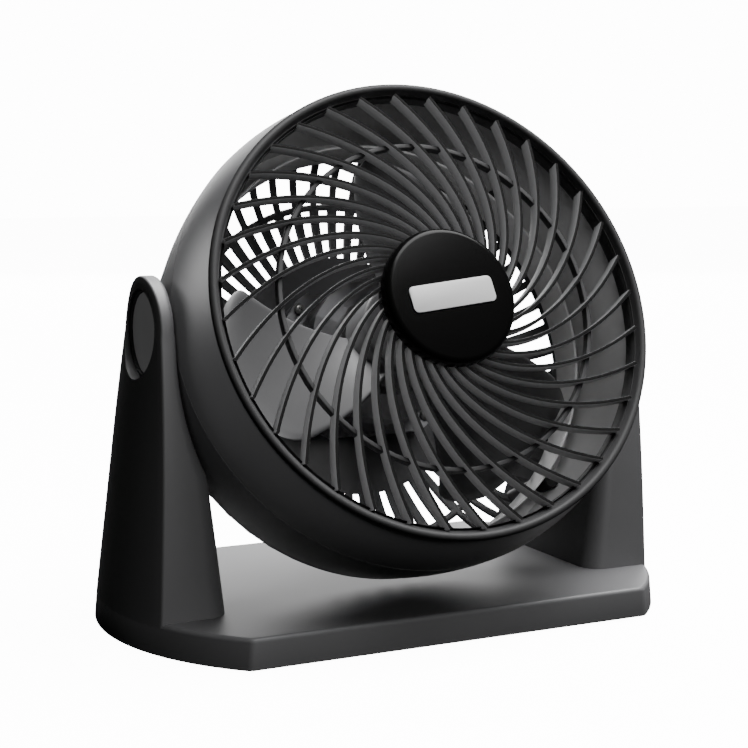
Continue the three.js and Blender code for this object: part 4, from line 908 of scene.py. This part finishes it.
def rear_outline(inset):
    """[radius, depth] points of the rear shell's outer or inner face, from the seam to the centre hole."""
    across = shell_radius(DOME_START) - DOME_FLAT
    slot_ends = (OUTER_ROW_OUTER, OUTER_ROW_INNER, SLOT_OUTER, SLOT_INNER)
    turns = [0] + [math.acos((radius - DOME_FLAT) / across) for radius in slot_ends] + [math.pi / 2]
    points = wall(SEAM_DEPTH + SEAM_GAP, DOME_START, WALL_STEPS + 1, inset)
    for start, end, steps in zip(turns, turns[1:], DOME_STEPS):
        points += [dome_point(turn, inset) for turn in np.linspace(start, end, steps + 1)[1:]]
    return points + [(radius, DOME_END - inset) for radius in FLAT_RINGS + (CENTRE_HOLE,)]


def rear_sector(material):
    """One pitch of the rear shell: its outer and inner faces, with two slots left out and walled round."""
    outer, inner = rear_outline(0), rear_outline(SHELL_WALL)
    rows_at = np.cumsum((WALL_STEPS,) + DOME_STEPS)
    slots = {**dict.fromkeys(range(rows_at[1], rows_at[2]), (1, 2, 3, 4)),
             **dict.fromkeys(range(rows_at[3], rows_at[4]), (2, 3))}
    half_pitch = math.pi / SLOTS
    turns = [half_pitch * share
             for share in (-1, -OUTER_ROW_SHARE, -SLOT_SHARE, 0, SLOT_SHARE, OUTER_ROW_SHARE, 1)]
    columns, rows = len(turns), len(outer)
    points = [Vector((radius * math.cos(turn), radius * math.sin(turn), RIM_AHEAD - depth))
              for face in (outer, inner) for radius, depth in face for turn in turns]
    solid = {(row, column) for row in range(rows - 1) for column in range(columns - 1)
             if column not in slots.get(row, ())}
    faces, shift = [], rows * columns
    for row, column in solid:
        a = row * columns + column
        quad = (a, a + 1, a + 1 + columns, a + columns)
        faces += [quad, tuple(i + shift for i in reversed(quad))]
        for step, (b, c) in {(-1, 0): (a, a + 1), (1, 0): (a + columns, a + 1 + columns),
                             (0, -1): (a, a + columns), (0, 1): (a + 1, a + 1 + columns)}.items():
            beside = (row + step[0], column + step[1])
            if beside not in solid and 0 <= beside[1] < columns - 1:
                faces.append((b, c, c + shift, b + shift))
    mesh = bpy.data.meshes.new("rear_sector")
    mesh.from_pydata(points, [], faces)
    mesh.materials.append(material)
    return placed("rear_shell_look", mesh)


rear_plastic = moulded("rear_satin_black", REAR_BLACK, 0.46)
rear = repeated(rear_sector(rear_plastic), around, count=SLOTS, first_turn=math.pi / SLOTS, weld=1e-5,
                material=rear_plastic)
work = bmesh.new()
work.from_mesh(rear.data)
bmesh.ops.recalc_face_normals(work, faces=work.faces)
weight = work.edges.layers.float.new("bevel_weight_edge")
for edge in work.edges:
    behind_seam = edge.verts[0].co.z < RIM_AHEAD - SEAM_DEPTH - 0.001
    edge[weight] = float(behind_seam and edge.calc_face_angle(0) > math.radians(SLOT_EDGE_TURN))
work.to_mesh(rear.data)
work.free()
soft_edge = rear.modifiers.new("soft_edge", "BEVEL")
soft_edge.width = SLOT_ROUNDING
soft_edge.segments = 2
soft_edge.limit_method = "WEIGHT"
in_head(settle(rear))

motor_places = round_axis(MOTOR_POST_PLACE, QUARTERS)
cover_places = round_axis(COVER_SCREW_PLACE, [math.radians(turn) for turn in (90, 210, 330)])
posts = [rod(POST_RADIUS, POST_FRONT, DOME_END, place, rear_plastic) for place in boss_places]
inside = [(radius - POST_INSET, depth - POST_INSET)
          for radius, depth in rear_outline(0) if depth > ENVELOPE_FRONT]
envelope = turned("envelope", [(0, ENVELOPE_FRONT)] + inside + [(0, DOME_END - POST_INSET)], rear_plastic)
posts = carve(joined("posts", posts), envelope, "INTERSECT")
inner_posts = [rod(INNER_POST_RADIUS, front, DOME_END - 0.001, place, rear_plastic)
               for places, front in ((motor_places, MOTOR_POST_FRONT), (cover_places, COVER_POST_FRONT))
               for place in places]
rear_posts = joined("rear_posts", [posts] + inner_posts)
wells = [rod(WELL_RADIUS, WELL_FLOOR, DOME_END + CUT_PAST, place, rear_plastic) for place in boss_places]
rear = carve(carve(rear, rear_posts, "UNION"), joined("wells", wells))
pad_root = BELLY_RADIUS - SHELL_WALL + 0.0006
for side in (-1, 1):
    outline = [(pad_root, TRUNNION_BORE), (pad_root, PAD_RADIUS), (PAD_FACE - PAD_CHAMFER, PAD_RADIUS),
               (PAD_FACE, PAD_RADIUS - PAD_CHAMFER), (PAD_FACE, TRUNNION_RADIUS),
               (RECESS_FLOOR - TRUNNION_CHAMFER, TRUNNION_RADIUS),
               (RECESS_FLOOR, TRUNNION_RADIUS - TRUNNION_CHAMFER), (RECESS_FLOOR, TRUNNION_BORE),
               (pad_root, TRUNNION_BORE)]
    trunnion = turned_about_tilt("trunnion", side, outline, rear_plastic, 48)
    rear = joined("rear_shell_look", [rear, trunnion])
shade(rear)
light_with(head_boxes, rear)
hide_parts("rear_shell")
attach(rear, "head")

# The intake ring round the blades is a thin black moulding with a rounded front lip. Its flange is clamped
# between the two shells by the four long screws.
INTAKE_RADIUS = BELLY_RADIUS - 0.0169
INTAKE_FLARE = 0.0009
INTAKE_WALL = 0.0014
INTAKE_FRONT = 0.05
FLANGE_FRONT = 0.07
FLANGE_REAR = 0.0716
DUCT_PAINTED_LIGHT = (0.4, 0.4, 0.403, 1)
# Painted light: the black ring is given a mid grey, standing in for the light that falls on its inside through
# the grille.
duct_painted_light = moulded("duct_satin_black", DUCT_PAINTED_LIGHT, 0.38)
throat = INTAKE_RADIUS + INTAKE_FLARE
flange = shell_radius(FLANGE_REAR) - SHELL_WALL - 0.0004
duct = turned("intake_ring", softened([
    (INTAKE_RADIUS, INTAKE_FRONT, 0.0007), (throat, FLANGE_REAR, 0.0003), (flange, FLANGE_REAR, 0.0003),
    (flange, FLANGE_FRONT, 0.0003), (throat + INTAKE_WALL, FLANGE_FRONT, 0.0008),
    (INTAKE_RADIUS + INTAKE_WALL, INTAKE_FRONT, 0.0007)]), duct_painted_light)
light_with(head_boxes, duct)
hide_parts("inner_duct")
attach(duct, "head")

# The impeller is one satin black moulding with three wide blades, swept back towards their rounded tips. A
# smooth nut holds its hub on the shaft.
BLADES = 3
BLADE_REACH = 0.089
BLADE_FRONT = 0.035
BLADE_REAR = 0.057
BLADE_THICKNESS = 0.0022
BLADE_PHASE = math.radians(85)
BLADE_SPREAD = math.radians(31)
BLADE_SWEEP = math.radians(19)
BLADE_CAMBER = 0.0025
TIP_START = 0.82
LEADING_TIP = 0.85
TRAILING_TIP = 0.42
TIP_CURVE = 2.2
ROW_CROWDING = 1.6  # draws the rows of points together towards the tip
BLADE_SHARP_TURN = 40
FAN_HUB_RADIUS = 0.024
FAN_HUB_FRONT = 0.033
FAN_HUB_REAR = 0.056
FAN_WALL = 0.0024
FAN_BORE = 0.0038
FAN_BOSS_RADIUS = 0.0062
NUT_RADIUS = 0.008
NUT_FRONT = 0.0272
NUT_REAR = 0.0327
FAN_BLACK = (0.1, 0.1, 0.102, 1)


def blade(material, across=36, along=30):
    """One blade, from a grid of points over its front face and one over its rear face, thin at the edges."""
    fronts, rears = [], []
    start = FAN_HUB_RADIUS - FAN_WALL / 2
    for j in range(along + 1):
        share = 1 - (1 - j / along) ** ROW_CROWDING
        radius = start + (BLADE_REACH - start) * share
        past = max(0, (share - TIP_START) / (1 - TIP_START)) ** TIP_CURVE
        trailing = BLADE_SPREAD * (1 + (TRAILING_TIP - 1) * past)
        leading = BLADE_SPREAD * (1 + (LEADING_TIP - 1) * past)
        for i in range(across + 1):
            chord = (1 - math.cos(math.pi * i / across)) / 2
            turn = BLADE_PHASE - BLADE_SWEEP * share - trailing + (trailing + leading) * chord
            middle = BLADE_REAR + (BLADE_FRONT - BLADE_REAR) * chord + BLADE_THICKNESS * (0.5 - (1 - chord))
            middle += BLADE_CAMBER * math.sin(math.pi * chord) * share
            thinning = 0.25 + 5 * math.sqrt(max(chord * (1 - chord), 0)) * (1.02 - share ** 8)
            half = BLADE_THICKNESS / 2 * min(1, thinning)
            for side, points in ((-1, fronts), (1, rears)):
                points.append(Vector((radius * math.cos(turn), radius * math.sin(turn),
                                      RIM_AHEAD - middle - side * half)))
    rows, columns, shift = along + 1, across + 1, (along + 1) * (across + 1)
    faces = grid_faces(rows, columns, closed=False)
    faces += [tuple(i + shift for i in reversed(face)) for face in faces]
    rim = list(range(columns)) + [columns * row + columns - 1 for row in range(1, rows)]
    rim += [(rows - 1) * columns + i for i in range(columns - 2, -1, -1)]
    rim += [columns * row for row in range(rows - 2, 0, -1)]
    for i, a in enumerate(rim):
        b = rim[(i + 1) % len(rim)]
        faces.append((a, b, b + shift, a + shift))
    return piece_of("blade", fronts + rears, faces, material, BLADE_SHARP_TURN)


fan_plastic = moulded("fan_satin_black", FAN_BLACK, 0.36)
blades = repeated(blade(fan_plastic), around, count=BLADES, material=fan_plastic)
in_head(shade(blades, BLADE_SHARP_TURN))
cup_inner, cup_floor = FAN_HUB_RADIUS - FAN_WALL, FAN_HUB_FRONT + FAN_WALL
fan_cup = turned("fan_cup", softened([
    (FAN_BORE, FAN_HUB_FRONT, 0.0003), (FAN_HUB_RADIUS, FAN_HUB_FRONT, 0.0024),
    (FAN_HUB_RADIUS, FAN_HUB_REAR, 0.0005), (cup_inner, FAN_HUB_REAR, 0.0005), (cup_inner, cup_floor, 0.001),
    (FAN_BOSS_RADIUS, cup_floor, 0.0008), (FAN_BOSS_RADIUS, FAN_HUB_REAR, 0.0004),
    (FAN_BORE, FAN_HUB_REAR, 0.0003)]), fan_plastic, steps=96)
impeller = joined("impeller_look", [blades, fan_cup])
# Its own box lights it alone, unshaded by the other pieces, and the box above lights everything but it.
light_with(blade_boxes, impeller)
blade_boxes[0].light_linking.blocker_collection = blade_boxes[0].light_linking.receiver_collection
light_with([top_box], impeller)
top_box.light_linking.receiver_collection.collection_objects[0].light_linking.link_state = "EXCLUDE"
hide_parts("impeller")
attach(impeller, "rotor")
nut = turned("fan_nut", softened([
    (FAN_BORE, NUT_REAR, 0.0002), (FAN_BORE, NUT_FRONT, 0.0002), (FAN_BOSS_RADIUS, NUT_FRONT, 0.0009),
    (NUT_RADIUS, NUT_FRONT + 0.0018, 0.0009), (NUT_RADIUS, NUT_REAR, 0.0003)]), fan_plastic, steps=48)
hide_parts("impeller_nut")
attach(nut, "rotor")

# The motor sits behind the impeller: a laminated steel core between two cast zinc brackets, copper windings,
# sintered bronze bushes and a ground steel shaft. These keep the CAD's own solids and get their materials here.
MOTOR_ZINC = (0.3, 0.3, 0.31, 1)
LAMINATION_STEEL = (0.25, 0.25, 0.26, 1)
WINDING_COPPER = (0.42, 0.16, 0.07, 1)
BUSH_BRONZE = (0.35, 0.24, 0.12, 1)
SHAFT_STEEL = (0.5, 0.5, 0.51, 1)
WAVE_LENGTH = 0.314  # from band to band of a wave texture at scale 1


def banded(name, shade, gloss, metal, pitch, depth, darkening):
    """Fine bands along the head's axis, as laminations, wound wire or turned metal show them."""
    material = moulded(name, shade, gloss, 0.0008, 0.00001, 0.08, metal)
    tree = material.node_tree
    place = tree.nodes.new("ShaderNodeTexCoord").outputs["Object"]
    turn = add_node(tree, "ShaderNodeMapping", {"Vector": place, "Location": head_place.to_translation(),
                                                "Rotation": head_turn.to_euler()}, vector_type="TEXTURE")
    bands = add_node(tree, "ShaderNodeTexWave", {"Vector": turn.outputs[0], "Scale": WAVE_LENGTH / pitch,
                                                 "Distortion": 0.4, "Detail Scale": 40}, bands_direction="Z")
    mix = add_node(tree, "ShaderNodeMix", {0: darkening}, data_type="RGBA", blend_type="MULTIPLY")
    colours = [socket for socket in mix.inputs if socket.type == "RGBA"]
    shader, grain = tree.nodes["Principled BSDF"], next(node for node in tree.nodes if node.type == "GROUP")
    tree.links.new(grain.outputs["Colour"], colours[0])
    tree.links.new(bands.outputs["Color"], colours[1])
    tree.links.new(next(socket for socket in mix.outputs if socket.type == "RGBA"), shader.inputs["Base Color"])
    bump = add_node(tree, "ShaderNodeBump", {"Distance": depth, "Height": bands.outputs["Fac"]})
    tree.links.new(bump.outputs["Normal"], shader.inputs["Normal"])
    return material


def dress(material, *nodes):
    for node in nodes:
        mesh = bpy.data.objects[node].data
        mesh.materials.clear()
        mesh.materials.append(material)


copper = banded("enamelled_copper", WINDING_COPPER, 0.3, 0.8, 0.0007, 0.00012, 0.6)
bronze = moulded("sintered_bronze", BUSH_BRONZE, 0.42, 0.0006, 0.00003, metal=1.0)
zinc = moulded("cast_zinc", MOTOR_ZINC, 0.5, 0.0012, 0.00006, 0.1, metal=1.0)
steel = banded("turned_steel", SHAFT_STEEL, 0.28, 1.0, 0.0004, 0.000004, 0.15)
dress(zinc, "motor_front_bracket", "motor_rear_bracket", "rotor_core")
dress(banded("laminations", LAMINATION_STEEL, 0.4, 1.0, 0.0005, 0.00004, 0.5), "stator_core")
dress(copper, "winding_front", "winding_rear")
dress(bronze, "bearing_front", "bearing_rear")
dress(steel, "motor_shaft", "switch_spindle")
dress(nylon, "speed_switch")

# The motor's cover is a moulded black cup, screwed on the shell's flat back by three screws through its flange.
# The gland is a black rubber bush that snaps into a hole under the knob.
COVER_FRONT = DOME_END + 0.0003
COVER_REAR = COVER_FRONT + 0.0117
COVER_RADIUS = 0.034
COVER_FLANGE = 0.044
COVER_WALL = 0.0022
SPINDLE_HOLE = 0.0034
GLAND_PLACE = (0, -0.0245)
GLAND_RADIUS = 0.005
GLAND_HEAD = 0.0065
GLAND_BORE = 0.0029
GLAND_GAP = 0.0003
SCREW_HOLE = 0.0019
COVER_BLACK = (0.032, 0.032, 0.034, 1)
RUBBER_BLACK = (0.02, 0.02, 0.02, 1)
cover_plastic = moulded("cover_satin_black", COVER_BLACK, 0.44)
cover_inner = COVER_RADIUS - COVER_WALL
cover_seat, cover_roof = COVER_FRONT + COVER_WALL, COVER_REAR - COVER_WALL
cover = turned("motor_cover_look", softened([
    (SPINDLE_HOLE, COVER_REAR, 0.0003), (COVER_RADIUS, COVER_REAR, 0.0024), (COVER_RADIUS, cover_seat, 0.0012),
    (COVER_FLANGE, cover_seat, 0.0008), (COVER_FLANGE, COVER_FRONT, 0.0002), (cover_inner, COVER_FRONT, 0.0002),
    (cover_inner, cover_roof, 0.001), (SPINDLE_HOLE, cover_roof, 0.0002)]), cover_plastic, steps=96)
holes = [rod(SCREW_HOLE, DOME_END - CUT_PAST, COVER_REAR, place, cover_plastic) for place in cover_places]
holes.append(rod(GLAND_RADIUS + GLAND_GAP, COVER_FRONT, COVER_REAR + CUT_PAST, GLAND_PLACE, cover_plastic))
cover = carve(cover, joined("holes", holes))
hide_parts("motor_cover")
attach(cover, "head")
rubber = moulded("rubber", RUBBER_BLACK, 0.7, 0.0007, 0.00004)
gland_front, gland_rear = cover_roof - 0.0012, COVER_REAR + 0.0027
gland = turned("cord_gland_look", softened([
    (GLAND_BORE, gland_rear, 0.0005), (2 * GLAND_BORE, gland_rear, 0.0007),
    (GLAND_HEAD, COVER_REAR + 0.0012, 0.0004), (GLAND_HEAD, COVER_REAR, 0.0002),
    (GLAND_RADIUS, COVER_REAR, 0.0001), (GLAND_RADIUS, gland_front, 0.0003),
    (GLAND_BORE, gland_front, 0.0003)]), rubber, steps=40, place=GLAND_PLACE)
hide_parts("cord_gland")
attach(gland, "head")

# The speed knob is a satin black moulding: a disc with a grip bar across it and fine teeth round its edge. It
# is pushed on the switch's spindle.
KNOB_FRONT = COVER_REAR + 0.0004
KNOB_REAR = KNOB_FRONT + 0.011
KNOB_BODY = KNOB_FRONT + 0.004
KNOB_SOCKET_END = KNOB_REAR - 0.0027
KNOB_RADIUS = 0.014
KNOB_BORE = 0.0033
KNOB_POLE = 0.0001  # the turned outline ends this close to the axis
KNOB_TEETH = 48
TOOTH_RADIUS = 0.00035
GRIP_LENGTH = 0.025
GRIP_WIDTH = 0.006
KNOB_BLACK = (0.035, 0.035, 0.037, 1)
knob_plastic = moulded("knob_satin_black", KNOB_BLACK, 0.4)
disc_edge = KNOB_RADIUS - 0.0003
knob_disc = turned("knob_disc", softened([
    (KNOB_BORE, KNOB_FRONT, 0.0002), (KNOB_BORE, KNOB_SOCKET_END), (KNOB_POLE, KNOB_SOCKET_END),
    (KNOB_POLE, KNOB_BODY + 0.0003), (disc_edge, KNOB_BODY, 0.001), (disc_edge, KNOB_FRONT, 0.0004)]),
    knob_plastic, steps=96)


def bar(name, length, width, near, far, edge, material):
    """A bar across the head's axis, between two depths, with a softened rear face."""
    loops = []
    for depth, inset in ((near, 0), (far - edge, 0), (far - edge * 0.3, edge * 0.3), (far, edge)):
        loop, reach = [], width / 2 - inset
        for centre, first in ((length / 2 - width / 2, -math.pi / 2), (width / 2 - length / 2, math.pi / 2)):
            for turn in np.linspace(first, first + math.pi, 13):
                loop.append(at_depth(reach * -math.sin(turn), centre + reach * math.cos(turn), depth))
        loops.append(loop)
    return skinned(name, loops, material)


grip = bar("grip", GRIP_LENGTH, GRIP_WIDTH, KNOB_BODY - 0.0006, KNOB_REAR, 0.0009, knob_plastic)
tooth_place = (KNOB_RADIUS - 0.00036, 0)
tooth = rod(TOOTH_RADIUS, KNOB_FRONT + 0.0006, KNOB_BODY - 0.0008, tooth_place, knob_plastic, 0.0001, 8)
tooth.data.transform(head_place.inverted())
teeth = in_head(shade(repeated(tooth, around, count=KNOB_TEETH, material=knob_plastic)))
knob = joined("knob_look", [knob_disc, grip, teeth])
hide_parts("speed_knob")
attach(knob, "knob")

# Every screw is a zinc-plated self-tapping pan-head screw with a cross recess, and a thread that is a helical
# ridge round its shank. They hold the two shells, the motor, the cover and the stand's bottom plate.
SCREW_RADIUS = 0.0015
SCREW_CORE = SCREW_RADIUS * 0.8
SCREW_HEAD = 0.003
THREAD_START = 0.0008
THREAD_PITCH = 0.0009
THREAD_STEPS = 16  # in one turn
THREAD_SECTION = ((0.74, -0.0002), (0.98, 0), (0.74, 0.0002))  # shares of the radius, and heights
CROSS_WIDTH = 0.00035
CROSS_LENGTH = 0.0014
BASE_SCREW_SPOT = (0.084, 0.066)
PLATE_LOW = 0.0024
SHELL_SCREW_LENGTH = 0.016
MOTOR_SCREW_LENGTH = 0.012
MOTOR_SCREW_SEAT = 0.0913
COVER_SCREW_LENGTH = 0.008
BASE_SCREW_LENGTH = 0.009
PLATED_STEEL = (0.42, 0.42, 0.41, 1)
screw_steel = moulded("plated_steel", PLATED_STEEL, 0.3, 0.0005, 0.00001, 0.1, metal=1.0)


def screw(length, spot):
    """One screw with its head's seat at height 0, its shank along +Z, standing at a spot in a plane."""
    profile = [(0, length), (0.0003, length), (SCREW_CORE, length - 0.0012), (SCREW_CORE, 0.0006),
               (SCREW_RADIUS, 0.0004), (SCREW_RADIUS, -0.0003), (SCREW_HEAD - 0.0001, -0.0003),
               (SCREW_HEAD, -0.0005), (SCREW_HEAD * 0.97, -0.0011), (SCREW_HEAD * 0.8, -0.0015),
               (SCREW_HEAD * 0.45, -0.0017), (0, -0.0017)]
    body = spun("screw", profile, lambda x, y, z: (x, y, z), screw_steel, 24)
    for wide, long in ((CROSS_WIDTH, CROSS_LENGTH), (CROSS_LENGTH, CROSS_WIDTH)):
        loops = []
        for z, x, y in ((-0.0008, wide * 0.5 ** 0.3, long * 0.5), (-0.003, wide * 1.5 ** 0.3, long * 1.5)):
            loops.append([(-x, -y, z), (x, -y, z), (x, y, z), (-x, y, z)])
        carve(body, skinned("driver", loops, screw_steel))
    rings = []
    for step in range(int(THREAD_STEPS * (length - 0.002) / THREAD_PITCH)):
        turn, z = step / THREAD_STEPS * 2 * math.pi, THREAD_START + step / THREAD_STEPS * THREAD_PITCH
        rings.append([(SCREW_RADIUS * share * math.cos(turn), SCREW_RADIUS * share * math.sin(turn), z + lift)
                      for share, lift in THREAD_SECTION])
    whole = joined("screw", [body, skinned("thread", rings, screw_steel)])
    whole.data.transform(Matrix.Translation((spot[0], spot[1], 0)))
    return whole


def numbered(stem, count):
    return ["%s_%d" % (stem, i + 1) for i in range(count)]


def head_screws(stem, length, reach, count, first_turn, seat, direction):
    """Screws round the head's axis, whose heads sit at a depth and whose shanks run forward or backward."""
    made = repeated(screw(length, (reach, 0)), around, count=count, first_turn=first_turn, material=screw_steel)
    if direction < 0:
        made.data.transform(Matrix.Rotation(math.pi, 4, "Y"))
    made.data.transform(Matrix.Translation((0, 0, RIM_AHEAD - seat)))
    made.name = stem + "s"
    in_head(shade(made))
    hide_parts(*numbered(stem, count))
    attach(made, "head")


def at_corners(name, make, spot, height, material):
    """Copies of a piece at four spots under the stand, at a height."""
    pairs = [repeated(make((spot[0], side * spot[1])), around, count=2, material=material) for side in (-1, 1)]
    made = joined(name, pairs)
    made.data.transform(Matrix.Translation((0, STAND_SETBACK + tilt_axis.y, height)))
    return shade(made)


head_screws("shell_screw", SHELL_SCREW_LENGTH, BOSS_PLACE, 4, math.pi / 4, WELL_FLOOR, 1)
head_screws("motor_screw", MOTOR_SCREW_LENGTH, MOTOR_POST_PLACE, 4, math.pi / 4, MOTOR_SCREW_SEAT, -1)
head_screws("cover_screw", COVER_SCREW_LENGTH, COVER_SCREW_PLACE, 3, math.pi / 2, cover_seat, 1)
base_screws = at_corners("base_screws", lambda spot: screw(BASE_SCREW_LENGTH, spot), BASE_SCREW_SPOT,
                         PLATE_LOW, screw_steel)
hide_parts(*numbered("base_screw", 4))
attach(base_screws, "stand")

# The underside: a moulded black plate, set inside the skirt and held by four screws, and four rubber feet fixed
# under it, each with a shallow ring in its sole.
PLATE_HIGH = 0.0046
PLATE_INSET = 0.0031
PLATE_CHAMFER = 0.0005
FOOT_SPOT = (0.108, 0.054)
FOOT_RADIUS = 0.008
FOOT_TOP = 0.0021
PLATE_BLACK = (0.03, 0.03, 0.032, 1)
plate_plastic = moulded("plate_satin_black", PLATE_BLACK, 0.5)
plate_sections = ((PLATE_LOW, PLATE_INSET + PLATE_CHAMFER), (PLATE_LOW + 0.0004, PLATE_INSET),
                  (PLATE_HIGH, PLATE_INSET))
plate = skinned("bottom_plate_look", [stand_outline(z, inset) for z, inset in plate_sections], plate_plastic)
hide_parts("bottom_plate")
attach(plate, "stand")


def sole(spot):
    profile = [(0, 0.0006), (0.0048, 0.0006), (0.0052, 0), (0.0072, 0), (0.0078, 0.0004), (FOOT_RADIUS, 0.0012),
               (FOOT_RADIUS, FOOT_TOP), (0, FOOT_TOP)]
    return spun("sole", profile, lambda x, y, z: (spot[0] + x, spot[1] + y, z), rubber, 48)


feet = at_corners("feet", sole, FOOT_SPOT, 0, rubber)
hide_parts(*numbered("foot", 4))
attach(feet, "stand")
